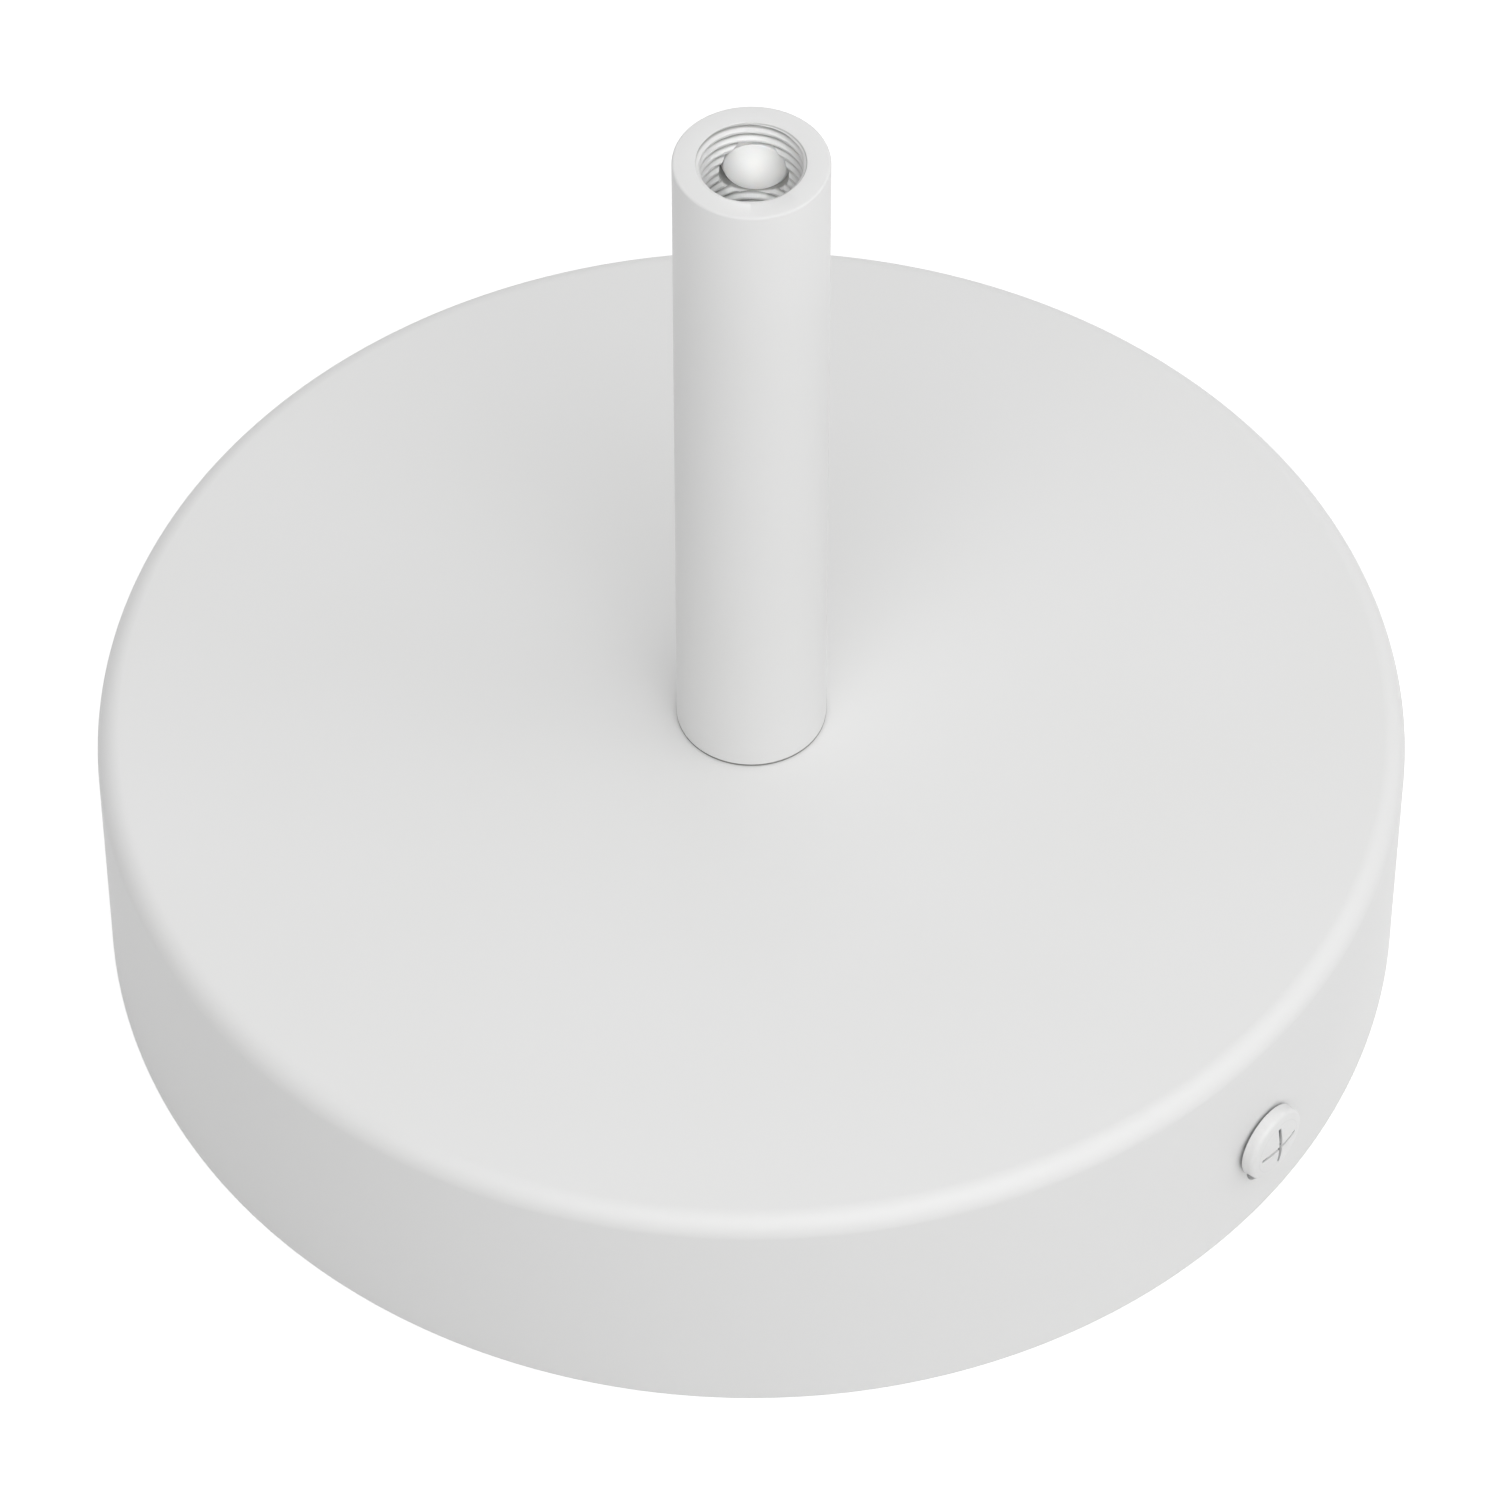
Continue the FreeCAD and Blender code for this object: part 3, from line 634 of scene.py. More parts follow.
def make_thread_tree():
    """Geometry Nodes tree that cuts a helical groove into the rows between two radii."""
    tree, given = new_tool(
        "cut_thread", "Radius", "Pitch", "Depth", "Low end", "High end", "Low fade", "High fade",
        "Land", "Root")
    maths = partial(math_node, tree)

    def ramp(value, from_low, from_high, to_low, to_high):
        """Straight ramp, held at its ends."""
        return add_node(tree, "ShaderNodeMapRange", {
            "Value": value, "From Min": from_low, "From Max": from_high,
            "To Min": to_low, "To Max": to_high}).outputs["Result"]

    spot = add_node(tree, "GeometryNodeInputPosition").outputs["Position"]
    x, y, z = add_node(tree, "ShaderNodeSeparateXYZ", {0: spot}).outputs
    flat = add_node(tree, "ShaderNodeCombineXYZ", {"X": x, "Y": y}).outputs[0]
    reach = vector_node(tree, "LENGTH", flat, output="Value")
    outward = vector_node(tree, "NORMALIZE", flat)
    turns = maths("DIVIDE", maths("ARCTAN2", y, x), 2 * math.pi)
    phase = maths("FRACT", maths("SUBTRACT", maths("DIVIDE", z, given["Pitch"]), turns))
    from_crest = maths("ABSOLUTE", maths("SUBTRACT", maths("MULTIPLY", phase, 2.0), 1.0))
    groove = ramp(from_crest, given["Land"], maths("SUBTRACT", 1.0, given["Root"]), 0.0, 1.0)
    low_full = maths("ADD", given["Low end"], given["Low fade"])
    high_full = maths("SUBTRACT", given["High end"], given["High fade"])
    rise = ramp(z, given["Low end"], low_full, 0.0, 1.0)
    fall = ramp(z, high_full, given["High end"], 1.0, 0.0)
    share = maths("MULTIPLY", groove, maths("MULTIPLY", rise, fall))
    depth = maths("MULTIPLY", given["Depth"], share)

    # How far the tool reaches past a point along the depth: outwards in a bore, inwards on a rod.
    side = maths("SIGN", given["Depth"])
    over = maths("SUBTRACT", maths("ADD", given["Radius"], depth), reach)
    taken = maths("MAXIMUM", maths("MULTIPLY", over, side), 0.0)
    signed = maths("MULTIPLY", taken, side)
    move = add_node(tree, "ShaderNodeVectorMath", {0: outward, "Scale": signed}, operation="SCALE")
    off = maths("MULTIPLY", maths("SUBTRACT", reach, given["Radius"]), side)
    below = maths("LESS_THAN", off, maths("ABSOLUTE", given["Depth"]))
    near = maths("MULTIPLY", below, maths("GREATER_THAN", off, -0.02 * MM))
    moved = add_node(tree, "GeometryNodeSetPosition", {
        "Geometry": given["Geometry"], "Selection": near, "Offset": move.outputs["Vector"]})
    give_back(tree, moved, given["Material"])
    return tree


def set_inputs(modifier, values):
    """Sets a Geometry Nodes modifier's inputs by name, through their identifiers."""
    for item in modifier.node_group.interface.items_tree:
        if item.item_type == "SOCKET" and item.in_out == "INPUT" and item.name in values:
            modifier[item.identifier] = values[item.name]


def cut_thread(blank, radius, pitch, depth, low, high, fades, finish):
    """Cuts a metric thread into a turned blank. Sizes in mm, and a negative depth cuts inwards."""
    land, root = (0.25, 0.125) if depth > 0 else (0.125, 0.25)
    tool = blank.modifiers.new("thread", "NODES")
    tool.node_group = thread_tree
    set_inputs(tool, {
        "Radius": radius * MM, "Pitch": pitch * MM, "Depth": depth * MM, "Low end": low * MM,
        "High end": high * MM, "Low fade": fades[0] * MM, "High fade": fades[1] * MM,
        "Land": land, "Root": root, "Material": finish})
    settle(blank)
    sharpen(blank.data, 60.0)


thread_tree = make_thread_tree()
print("thread tree has", len(thread_tree.nodes), "nodes")

# %% [markdown]
# ## The cup
# The cup is spun from 1 mm sheet: a flat face 120 mm across, a wall 25 mm high and a rounded edge
# between them. It could be a cylinder with a bevel, but as one turned outline its inside, its rim
# and the coat's thin edges come out together. Each side has an upright slot for its screw, so that
# the cup can be lifted against the ceiling before the screws are tightened.

# %% Spun cup
CUP_RADIUS = 60.0
SHEET = 1.0
EDGE_ROUNDING = 2.05
CENTRE_HOLE = 5.25
SLOT_WIDTH = 4.4
SLOT_LOW = 4.9
SLOT_HIGH = 12.7
WALL_ROWS = (3.5, 14.0)  # Rows that keep the cut of the slots to one band of the wall.
FACE_ROWS = (40.0, 12.0)  # Rings that keep the facets of the flat face short.

inner_radius = CUP_RADIUS - SHEET
inner_height = CUP_HEIGHT - SHEET
cup = lathe("spun_cup", soften([
    (inner_radius, 0, 0.12),
    (CUP_RADIUS, 0, 0.18),
    *((CUP_RADIUS, height, 0) for height in WALL_ROWS),
    (CUP_RADIUS, CUP_HEIGHT, EDGE_ROUNDING),
    *((radius, CUP_HEIGHT, 0) for radius in FACE_ROWS),
    (CENTRE_HOLE, CUP_HEIGHT, 0.12),
    (CENTRE_HOLE, inner_height, 0.12),
    *((radius, inner_height, 0) for radius in reversed(FACE_ROWS)),
    (inner_radius, inner_height, EDGE_ROUNDING - SHEET),
    *((inner_radius, height, 0) for height in reversed(WALL_ROWS)),
], smooth=16), 384)
for side in (-1, 1):
    slot_tool = prism("slot_tool", oblong(SLOT_HIGH - SLOT_LOW, SLOT_WIDTH), -3 * SHEET, 3 * SHEET)
    place(slot_tool, shift(side * CUP_RADIUS, 0, (SLOT_LOW + SLOT_HIGH) / 2), turn(90, "Y"))
    cut(cup, slot_tool)
break_edges(cup, 0.1)
stand_for(cup, "rose_cup")

# %% [markdown]
# ## The cord grip tube
# The tube is turned from bar. Its mouth is countersunk and has an M10 x 1 thread, into which a lamp
# holder's nipple screws. A cross hole near the top takes the grip screw, and a small step at the
# base leaves the thin dark line that shows where tube meets cup, which painted shade in the coat
# darkens further.

# %% Turned tube
PASSAGE_RADIUS = 4.0
BASE_BORE = 5.05
BASE_BORE_END = 35.0
GRIP_HEIGHT = 90.6
GRIP_BEARING = 126.4
GRIP_HOLE = 3.05
GRIP_SINK = 0.35
THREAD_PITCH = 1.0
THREAD_DEPTH = 0.5

step_radius = TUBE_RADIUS - 1.0
tube_outline = soften([
    (BASE_BORE, CUP_HEIGHT, 0.1),
    (step_radius, CUP_HEIGHT, 0),
    (step_radius, CUP_HEIGHT + TUBE_STEP, 0),
    (TUBE_RADIUS, CUP_HEIGHT + TUBE_STEP, 0.04),
    (TUBE_RADIUS, 80.0, 0),
    (TUBE_RADIUS, TUBE_TOP, 0.22),
    (MOUTH_RADIUS, TUBE_TOP, 0.04),
    (THREAD_RADIUS, THREAD_HIGH, 0),
    (THREAD_RADIUS, THREAD_LOW, 0),
    (PASSAGE_RADIUS, THREAD_LOW, 0.1),
    (PASSAGE_RADIUS, BASE_BORE_END, 0.1),
    (BASE_BORE, BASE_BORE_END, 0),
])
tube_rows = divide(
    tube_outline, THREAD_RADIUS - 0.01, THREAD_RADIUS + THREAD_DEPTH, THREAD_LOW, TUBE_TOP, 0.0625)
tube = lathe("cord_grip_barrel", tube_rows, 160)
cut_thread(
    tube, THREAD_RADIUS, THREAD_PITCH, THREAD_DEPTH, THREAD_LOW, TUBE_TOP + 1, (0.6, 0.1),
    powder_coat)
drill = lathe("drill", soften([
    (0, -1.0, 0), (GRIP_HOLE, -1.0, 0), (GRIP_HOLE, 6.2, 0), (GRIP_HOLE + GRIP_SINK, 7.5, 0),
    (0, 7.5, 0)]), 96)
place(drill, turn(GRIP_BEARING, "Z"), shift(0, 0, GRIP_HEIGHT), turn(90, "Y"))
cut(tube, drill)
sharpen(tube.data, 40.0)
stand_for(tube, "cord_grip_tube")

# %% [markdown]
# ## The grip screw
# A short nylon grub screw, M6, presses on the cord from the side. Its flat inner end is the white
# disc that shows in the mouth of the tube, and its outer end has a driver slot. It is turned along
# Z, where the thread tree works, and then laid in its hole.

# %% Nylon grip screw
GRIP_RADIUS = 3.0
GRIP_LENGTH = 4.0
GRIP_CHAMFER = 0.3
GRIP_PITCH = 1.0
GRIP_DEPTH = 0.5
GRIP_SLOT_DEPTH = 1.3
GRIP_START = THREAD_RADIUS + 0.05  # Distance of its inner end from the tube's axis.

grip_outline = soften([
    (0, 0, 0),
    (GRIP_RADIUS - GRIP_CHAMFER, 0, 0.08),
    (GRIP_RADIUS, GRIP_CHAMFER, 0),
    (GRIP_RADIUS, GRIP_LENGTH, 0.12),
    (0, GRIP_LENGTH, 0),
])
grip_rows = divide(grip_outline, GRIP_RADIUS - GRIP_DEPTH, GRIP_RADIUS, 0.1, GRIP_LENGTH, 0.07)
grip_screw = lathe("grip_screw", grip_rows, 96)
cut_thread(
    grip_screw, GRIP_RADIUS, GRIP_PITCH, -GRIP_DEPTH, 0.0, GRIP_LENGTH - 0.12, (0.3, 0.3), nylon)
cut(grip_screw, prism("slot_tool", bar(4, 0.5), GRIP_LENGTH - GRIP_SLOT_DEPTH, GRIP_LENGTH + 1))
sharpen(grip_screw.data, 40.0)
place(grip_screw, turn(GRIP_BEARING, "Z"), shift(GRIP_START, 0, GRIP_HEIGHT), turn(90, "Y"))
stand_for(grip_screw, "cord_grip_screw")

# %% [markdown]
# ## The side screws
# Each side screw is an M4 pan head with a cross recess. The head is a low dome with a rounded rim.
# The recess is one solid cutter whose cross-shaped outline narrows towards the floor, as the punch
# that formed it does.

# %% Pan head side screws
HEAD_RADIUS = 3.6
HEAD_EDGE = 1.3
HEAD_FLANGE = 0.8
SHANK_RADIUS = 2.0
SHANK_LENGTH = 8.0
SHANK_POINT = 0.6
SHANK_PITCH = 0.7
RECESS_DEPTH = 1.5


def cross(reach, half_width):
    """Outline in mm of a cross with four equal arms."""
    return round_points([(reach, -half_width), (reach, half_width), (half_width, half_width)], 4)


def recess_tool(top, depth):
    """Cutter for a cross recess: three crosses that shrink from above the head to the floor."""
    levels = [
        (top + 0.6, cross(3.3, 0.22)),
        (top - 0.75 * depth, cross(1.45, 0.18)),
        (top - depth, cross(0.5, 0.16))]
    points = [(x, y, z) for z, outline in levels for x, y in outline]
    count = len(levels[0][1])
    faces = [list(range(count)), list(range(2 * count, 3 * count))]
    for level in (0, count):
        above = level + count
        for index in range(count):
            after = (index + 1) % count
            faces.append([level + index, level + after, above + after, above + index])
    return new_piece("recess_tool", points, faces)


def dome_height(radius):
    """Height in mm of the domed head at a radius."""
    rise = HEAD_TOP - HEAD_EDGE
    ball = (HEAD_RADIUS ** 2 + rise ** 2) / (2 * rise)
    return HEAD_TOP - ball + math.sqrt(ball ** 2 - radius ** 2)


def make_side_screw(name):
    """Pan head screw with its head above z = 0 and its threaded shank below."""
    dome = [(radius, dome_height(radius), 0) for radius in (3.0, 2.2, 1.4, 0.7)]
    outline = soften([
        (0, -SHANK_LENGTH, 0),
        (1.3, -SHANK_LENGTH, 0),
        (SHANK_RADIUS, SHANK_POINT - SHANK_LENGTH, 0),
        (SHANK_RADIUS, -0.15, 0),
        (SHANK_RADIUS, 0, 0),
        (HEAD_RADIUS - HEAD_FLANGE, 0, 0),
        (HEAD_RADIUS - HEAD_FLANGE, HEAD_UNDERCUT, 0),
        (HEAD_RADIUS, HEAD_UNDERCUT, 0.03),
        (HEAD_RADIUS, HEAD_EDGE, 0.45),
        *dome,
        (0, HEAD_TOP, 0),
    ])
    rows = divide(outline, SHANK_RADIUS - 0.4, SHANK_RADIUS, SHANK_POINT - SHANK_LENGTH, -0.1, 0.06)
    screw = lathe(name, rows, 96)
    cut_thread(
        screw, SHANK_RADIUS, SHANK_PITCH, -0.38, -SHANK_LENGTH, -0.2, (0.6, 0.3), screw_paint)
    cut(screw, recess_tool(HEAD_TOP, RECESS_DEPTH))
    sharpen(screw.data, 40.0)
    return screw


for side, node in ((1, "side_screw_right"), (-1, "side_screw_left")):
    side_screw = make_side_screw(node.replace("side_screw", "pan_head"))
    place(side_screw, shift(side * HEAD_SEAT, 0, SCREW_HEIGHT), turn(90 * side, "Y"))
    stand_for(side_screw, node)

# %% [markdown]
# ## The nipple and its nut
# A hollow threaded rod joins the tube to the cup. The hexagon nut is a turned blank cut to six
# flats, which gives its faces the curved chamfers of a real nut.

# %% Threaded nipple and hexagon nut
NIPPLE_LOW = 16.5
NIPPLE_HIGH = 34.5
NIPPLE_RADIUS = 5.0
NIPPLE_BORE = 3.5
NIPPLE_CHAMFER = 0.5
NUT_LOW = 20.2
NUT_HIGH = 23.2
NUT_FLATS = 14.0
NUT_BORE = 5.05
NUT_CHAMFER = 0.65

nipple_end = NIPPLE_RADIUS - NIPPLE_CHAMFER
nipple_outline = soften([
    (NIPPLE_BORE, NIPPLE_LOW, 0.15),
    (nipple_end, NIPPLE_LOW, 0),
    (NIPPLE_RADIUS, NIPPLE_LOW + NIPPLE_CHAMFER, 0),
    (NIPPLE_RADIUS, NIPPLE_HIGH - NIPPLE_CHAMFER, 0),
    (nipple_end, NIPPLE_HIGH, 0),
    (NIPPLE_BORE, NIPPLE_HIGH, 0.15),
])
nipple_rows = divide(nipple_outline, nipple_end, NIPPLE_RADIUS, NIPPLE_LOW, NIPPLE_HIGH, 0.08)
nipple = lathe("hollow_nipple", nipple_rows, 120)
cut_thread(
    nipple, NIPPLE_RADIUS, THREAD_PITCH, -0.54, NIPPLE_LOW - 1, NIPPLE_HIGH + 1, (0.1, 0.1), zinc)
stand_for(nipple, "threaded_nipple")

nut_corner = NUT_FLATS / 2 / math.cos(math.radians(30))
nut_face = NUT_FLATS / 2 - 0.1
nut = lathe("hexagon_nut", soften([
    (NUT_BORE, NUT_LOW, 0.25),
    (nut_face, NUT_LOW, 0.1),
    (nut_corner + 0.1, NUT_LOW + NUT_CHAMFER, 0),
    (nut_corner + 0.1, NUT_HIGH - NUT_CHAMFER, 0),
    (nut_face, NUT_HIGH, 0.1),
    (NUT_BORE, NUT_HIGH, 0.25),
]), 120)
hexagon = round_points([(nut_corner, 0)], 6)
cut(nut, prism("hexagon_tool", hexagon, NUT_LOW - 1, NUT_HIGH + 1), "INTERSECT")
break_edges(nut, 0.08, segments=2)
stand_for(nut, "nipple_nut")

# %% [markdown]
# ## The lock washer
# The washer keeps the nut from working loose. Its teeth stand a little twisted out of the ring, so
# that they bite into the cup and the nut. They could be modelled one by one, but they repeat, so a
# second node tree sets one tooth at each step of a circle.

# %% Toothed lock washer
WASHER_LOW = 23.2
WASHER_HIGH = 24.0
TOOTH_ROOT = 6.6
TOOTH_TIP = 8.95
TOOTH_COUNT = 8
TOOTH_WIDTH = 3.0
TOOTH_THICKNESS = 0.5
TOOTH_TWIST = 5.0
WASHER_BORE = 5.25
WASHER_RING = 7.0
WASHER_RELIEF = 0.04


def make_tooth_tree():
    """Geometry Nodes tree that adds twisted teeth round a ring."""
    tree, given = new_tool(
        "washer_teeth", "Middle radius", "Tooth length", "Tooth width", "Thickness", "Height",
        "Twist")
    size = add_node(tree, "ShaderNodeCombineXYZ", {
        "X": given["Tooth length"], "Y": given["Tooth width"], "Z": given["Thickness"]})
    tooth = add_node(tree, "GeometryNodeMeshCube", {
        "Size": size.outputs[0], "Vertices X": 6, "Vertices Y": 6, "Vertices Z": 2})
    circle = add_node(tree, "GeometryNodeMeshCircle", {
        "Vertices": TOOTH_COUNT, "Radius": given["Middle radius"]})
    centre = add_node(tree, "ShaderNodeCombineXYZ", {"Z": given["Height"]})
    raised = add_node(tree, "GeometryNodeSetPosition", {
        "Geometry": circle.outputs["Mesh"], "Offset": centre.outputs[0]})
    number = add_node(tree, "GeometryNodeInputIndex").outputs[0]
    bearing = math_node(tree, "MULTIPLY", number, 2 * math.pi / TOOTH_COUNT)
    facing = add_node(tree, "ShaderNodeCombineXYZ", {"X": given["Twist"], "Z": bearing})
    teeth = add_node(tree, "GeometryNodeInstanceOnPoints", {
        "Points": raised.outputs["Geometry"], "Instance": tooth.outputs["Mesh"],
        "Rotation": facing.outputs[0]})
    whole = add_node(tree, "GeometryNodeJoinGeometry")
    tree.links.new(given["Geometry"], whole.inputs[0])
    tree.links.new(teeth.outputs["Instances"], whole.inputs[0])
    give_back(tree, whole, given["Material"])
    return tree


washer = lathe("toothed_washer", soften([
    (WASHER_BORE, WASHER_LOW + WASHER_RELIEF, 0.1),
    (WASHER_RING, WASHER_LOW + WASHER_RELIEF, 0.15),
    (WASHER_RING, WASHER_HIGH - WASHER_RELIEF, 0.15),
    (WASHER_BORE, WASHER_HIGH - WASHER_RELIEF, 0.1),
]), 120)
press = washer.modifiers.new("teeth", "NODES")
press.node_group = make_tooth_tree()
set_inputs(press, {
    "Middle radius": (TOOTH_ROOT + TOOTH_TIP) / 2 * MM,
    "Tooth length": (TOOTH_TIP - TOOTH_ROOT) * MM,
    "Tooth width": TOOTH_WIDTH * MM,
    "Thickness": TOOTH_THICKNESS * MM,
    "Height": (WASHER_LOW + WASHER_HIGH) / 2 * MM,
    "Twist": math.radians(TOOTH_TWIST),
    "Material": zinc})
settle(washer)
break_edges(washer, 0.06, segments=2)
stand_for(washer, "lock_washer")

# %% [markdown]
# ## Pressed and moulded pieces
# The bracket, the terminal block and the brass pieces already have their true shape in CAD. A copy
# of each mesh is merged, its flat facets are joined, and its edges are broken by the amount that
# stamping, moulding or machining leaves. That thin rounding is what the bare CAD lacks.

# %% Finish the pressed and moulded pieces
def dress(node, name, edge_mm):
    """A copy of a CAD node's mesh with joined facets and broken edges, which replaces it."""
    mesh = frame["nodes"][node].data.copy()
    shaped = bmesh.new()
    shaped.from_mesh(mesh)
    bmesh.ops.remove_doubles(shaped, verts=shaped.verts, dist=0.001 * MM)
    bmesh.ops.dissolve_limit(
        shaped, angle_limit=math.radians(0.5), use_dissolve_boundaries=False,
        verts=shaped.verts, edges=shaped.edges)
    shaped.to_mesh(mesh)
    shaped.free()
    piece = bpy.data.objects.new(name, mesh)
    bpy.context.scene.collection.objects.link(piece)
    break_edges(piece, edge_mm)
    stand_for(piece, node)


dress("mounting_bracket", "folded_bracket", 0.15)
dress("terminal_block", "moulded_block", 0.12)
dress("terminal_sleeve_1", "brass_sleeve_1", 0.1)
dress("terminal_sleeve_2", "brass_sleeve_2", 0.1)
dress("earth_washer", "square_washer", 0.1)
dress("earth_spring_washer", "spring_washer", 0.08)

# %% [markdown]
# ## The small terminal screws
# The clamp screws, the earth screw and the screw that holds the block are all slotted, so one
# function turns them from a few sizes: shank, head, slot and pitch. A clamp screw has no head, and
# its slot is in the end of its shank.

# %% Slotted screws
SCREW_POINT = 0.35


def make_slotted_screw(name, finish, shank, length, pitch, slot, head=None):
    """Slotted screw with its tip at z = 0. Slot: width and depth. Head: radius and height."""
    body = [(0, 0, 0), (shank - SCREW_POINT, 0, 0), (shank, SCREW_POINT, 0)]
    if head:
        widest, head_height = head
        top = length + head_height
        body += [(shank, length, 0), (widest, length, 0.06), (widest, top, 0.28), (0, top, 0)]
    else:
        widest, top = shank, length
        body += [(shank, top, 0.12), (0, top, 0)]
    rows = divide(soften(body, smooth=6), shank - SCREW_POINT, shank, 0.0, length, 0.06)
    screw = lathe(name, rows, 64)
    cut_thread(screw, shank, pitch, -0.54 * pitch, -1.0, length - 0.2, (0.1, 0.25), finish)
    slot_width, slot_depth = slot
    cut(screw, prism("slot_tool", bar(widest + 1, slot_width / 2), top - slot_depth, top + 1))
    sharpen(screw.data, 40.0)
    return screw


def middle_of(node):
    """Centre in mm of a CAD node's box in X and Y, and its lowest point."""
    low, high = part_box(node)
    return (low.x + high.x) / 2 / MM, (low.y + high.y) / 2 / MM, low.z / MM


for number in range(1, 5):
    node = f"terminal_screw_{number}"
    clamp = make_slotted_screw(f"clamp_screw_{number}", zinc, 1.5, 6.0, 0.5, slot=(0.6, 1.0))
    place(clamp, shift(*middle_of(node)), turn(35.0 * number, "Z"))
    stand_for(clamp, node)

holder = make_slotted_screw(
    "block_holder", zinc, 1.25, 8.05, 0.45, slot=(0.7, 0.9), head=(2.2, 1.6))
place(holder, shift(*middle_of("block_screw_1")), turn(20.0, "Z"))
stand_for(holder, "block_screw_1")

earth = make_slotted_screw(
    "earth_clamp_screw", brass, 2.0, 4.6, 0.7, slot=(1.0, 1.2), head=(3.5, 2.4))
place(earth, shift(*middle_of("earth_screw")), turn(-25.0, "Z"))
stand_for(earth, "earth_screw")

# %% [markdown]
# ## Floor and surroundings
# The rose stands on a plain pale floor. To the camera, and in reflections, the floor and the
# surroundings give white, so the background stays clean at a plain light level. The floor keeps a
# part of its own shading, so it still takes the rose's shadow.

# %% Floor and world
def white_to_view(tree):
    """One where a ray comes from the camera, a reflection or a clear surface, zero elsewhere."""
    rays = add_node(tree, "ShaderNodeLightPath").outputs
    seen = either(tree, rays["Is Camera Ray"], rays["Is Glossy Ray"])
    return either(tree, seen, rays["Is Transmission Ray"])


FLOOR_HALF = 3000.0
FLOOR_DROP = 0.02
FLOOR_GLOW = 0.65
SKY_LEVEL = 0.68
SKY_TILT = (-0.04, 0.30, -0.20)
WHITE = linear("FFFFFF")

corners = [(x, y, 0) for x, y in bar(FLOOR_HALF, FLOOR_HALF)]
floor = new_piece("floor", corners, [[0, 1, 2, 3]])
place(floor, shift(0, 0, -FLOOR_DROP))
paper = bpy.data.materials.new("white_paper_floor")
paper.use_nodes = True
paper_tree = paper.node_tree
paper_tree.nodes.clear()
paper_place = add_node(paper_tree, "ShaderNodeTexCoord").outputs["Object"]
fibre = add_node(paper_tree, "ShaderNodeTexNoise", {
    "Vector": paper_place, "Scale": per_metre(2.0), "Detail": 3.0})
paper_tone = blend(paper_tree, fibre.outputs["Fac"], linear("CACACA"), linear("CDCDCD"))
matte = add_node(paper_tree, "ShaderNodeBsdfDiffuse", {"Color": paper_tone})
lift = math_node(paper_tree, "MULTIPLY", white_to_view(paper_tree), FLOOR_GLOW)
glow = add_node(paper_tree, "ShaderNodeEmission", {"Color": WHITE, "Strength": lift})
both = add_node(paper_tree, "ShaderNodeAddShader", {0: matte.outputs[0], 1: glow.outputs[0]})
add_node(paper_tree, "ShaderNodeOutputMaterial", {"Surface": both.outputs[0]})
floor.data.materials.append(paper)

world = bpy.data.worlds.new("studio_surroundings")
bpy.context.scene.world = world
world.use_nodes = True
sky = world.node_tree
sky.nodes.clear()
toward = add_node(sky, "ShaderNodeTexCoord").outputs["Generated"]
slope = vector_node(sky, "DOT_PRODUCT", toward, SKY_TILT, output="Value")
soft_sky = math_node(sky, "ADD", slope, SKY_LEVEL)
level = add_node(sky, "ShaderNodeMapRange", {
    "Value": white_to_view(sky), "To Min": soft_sky, "To Max": 1.0})
air = add_node(sky, "ShaderNodeBackground", {"Color": WHITE, "Strength": level.outputs["Result"]})
add_node(sky, "ShaderNodeOutputWorld", {"Surface": air.outputs[0]})
print("sky level", SKY_LEVEL, "tilt", SKY_TILT)

# %% [markdown]
# ## Light
# The photograph's light is soft and comes from above and from the right: the right of the tube is
# the brightest, and the cup's wall falls off towards the left. Two large soft panels give that, and
# a sky that is brighter at the back fills the rest.

# %% Soft panels
def stand(name, made, spot, back):
    """Puts a light or camera at a spot, in metres, facing away from the direction given."""
    stood = bpy.data.objects.new(name, made)
    bpy.context.scene.collection.objects.link(stood)
    stood.location = spot
    stood.rotation_mode = "QUATERNION"
    stood.rotation_quaternion = back.to_track_quat("Z", "Y")
    return stood


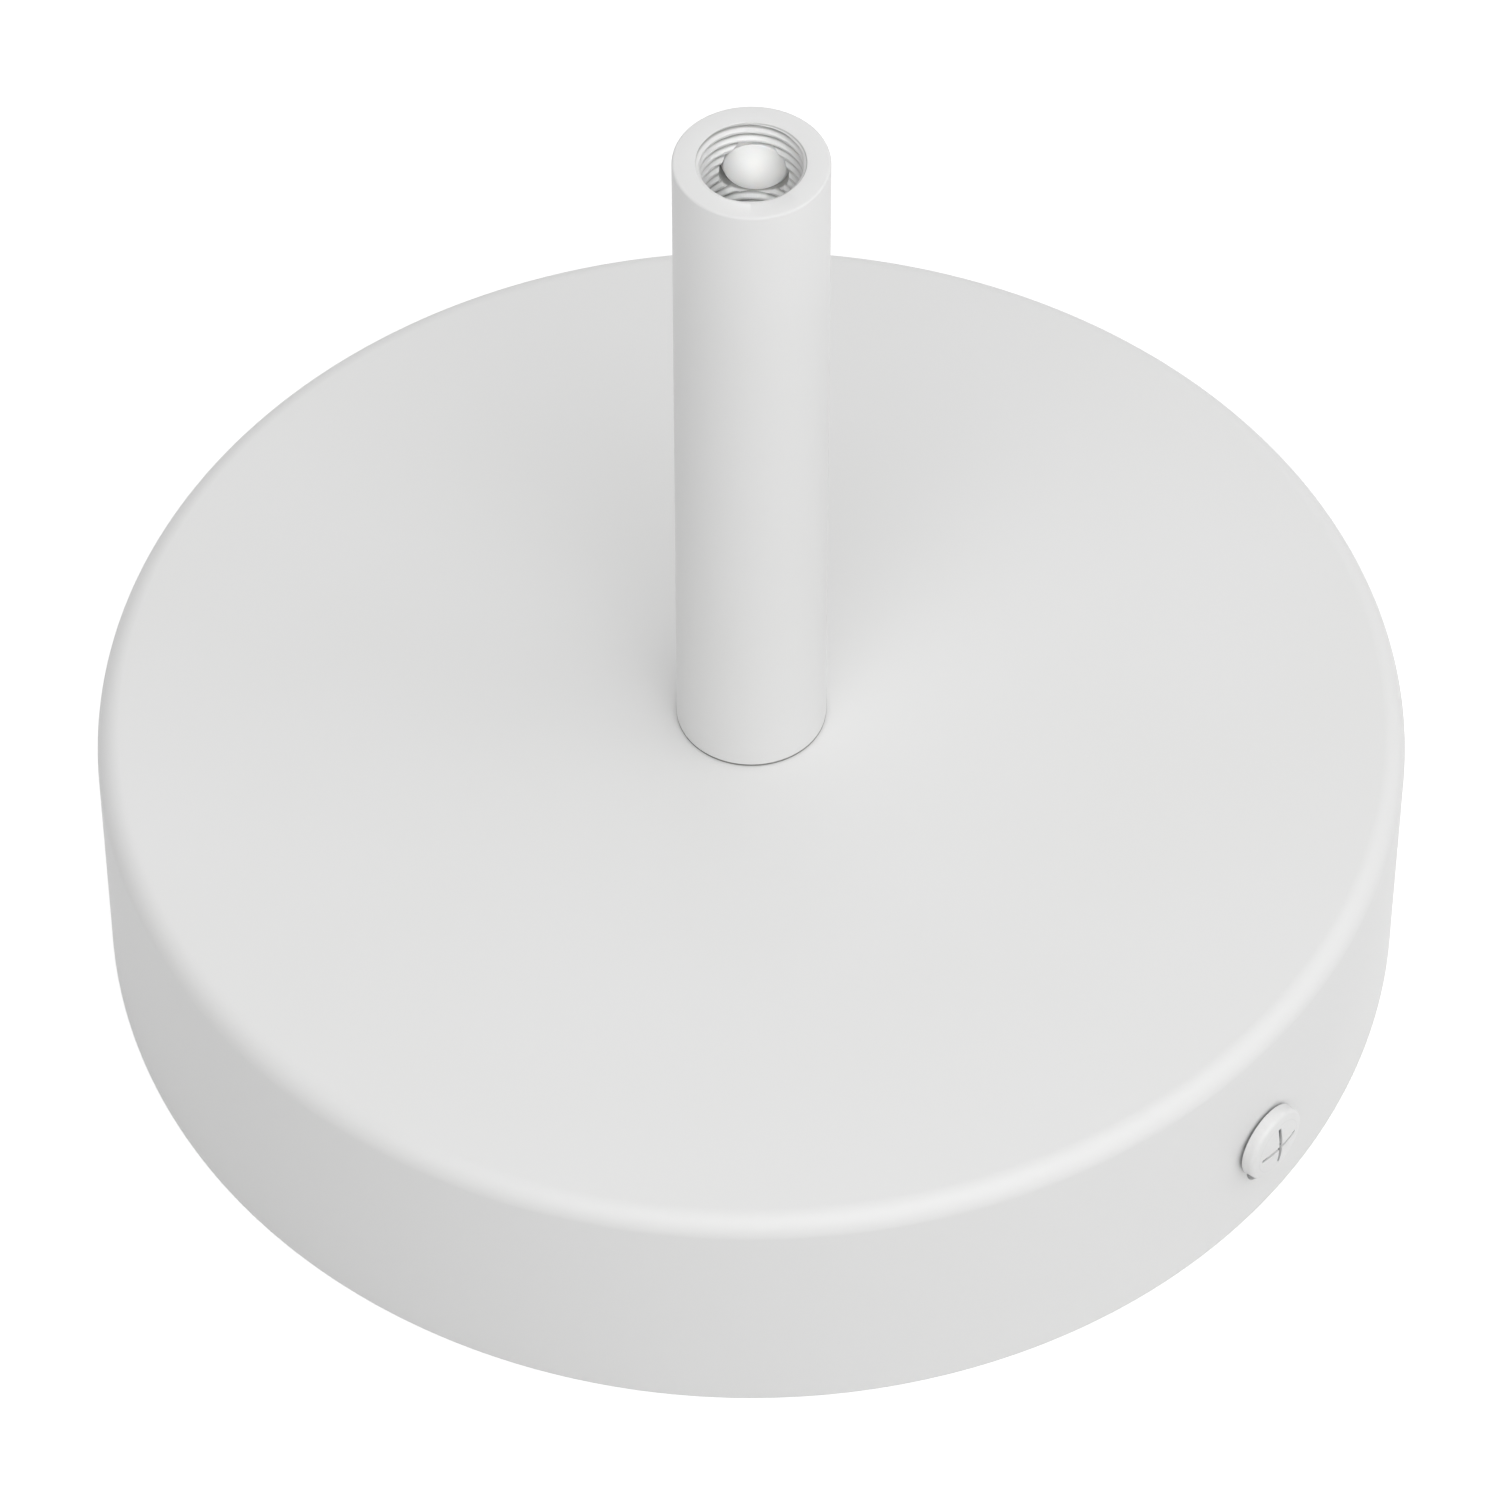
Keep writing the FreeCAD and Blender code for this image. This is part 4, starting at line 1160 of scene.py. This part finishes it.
def add_panel(name, toward, distance, width, power):
    """Square soft light that looks at the rose from a direction. Distance and width in mm."""
    lamp = bpy.data.lights.new(name, "AREA")
    lamp.shape = "SQUARE"
    lamp.size = width * MM
    lamp.energy = power
    back = Vector(toward).normalized()
    panel = stand(name, lamp, Vector((0, 0, 20.0)) * MM + back * distance * MM, back)
    print(name, "at", [round(value, 2) for value in panel.location], "m,", power, "W")


add_panel("right_panel", (0.62, 0.05, 0.66), 1500.0, 1600.0, 5.8)
add_panel("front_panel", (0.42, -0.51, 0.66), 1000.0, 1000.0, 4.6)

# %% [markdown]
# The grip screw's end lies down in the mouth, where little of that light gets. In the photograph it
# is a bright disc all the same, so a narrow beam is aimed at it.

# %% Beam into the mouth
BEAM_POWER = 3.0
BEAM_RISE = 47
BEAM_DISTANCE = 300

beam = bpy.data.lights.new("mouth_beam", "SPOT")
beam.spot_size = math.radians(1.0)
beam.spot_blend = 0.15
beam.shadow_soft_size = 2 * MM
beam.energy = BEAM_POWER
bearing = math.radians(GRIP_BEARING + 180)
across, along = math.cos(bearing), math.sin(bearing)
from_tip = Vector((across, along, math.tan(math.radians(BEAM_RISE)))).normalized()
tip = Vector((-THREAD_RADIUS * across, -THREAD_RADIUS * along, GRIP_HEIGHT - 0.3)) * MM
lamp = stand("mouth_beam", beam, tip + from_tip * BEAM_DISTANCE * MM, from_tip)
print("mouth beam at", [round(value, 2) for value in lamp.location], "m,", BEAM_POWER, "W")

# %% [markdown]
# ## Camera
# The place of the camera was solved from the photograph: the ellipse of the cup's top gives the
# height it looks from, the near and far tube ends give the distance, and the side screw gives how
# far the rose is turned.

# %% Camera
CAMERA_PLACE = (328.66, -396.05, 609.00)
CAMERA_BACK = (0.42006, -0.50594, 0.75338)

lens = bpy.data.cameras.new("photo_camera")
lens.sensor_width = 36.0
lens.lens = 203.67
lens.clip_start = 10 * MM
lens.clip_end = 20.0
camera = stand("photo_camera", lens, Vector(CAMERA_PLACE) * MM, Vector(CAMERA_BACK).normalized())
bpy.context.scene.camera = camera
bpy.context.scene.view_settings.view_transform = "Standard"
print("camera", round(camera.location.length, 3), "m from the origin")
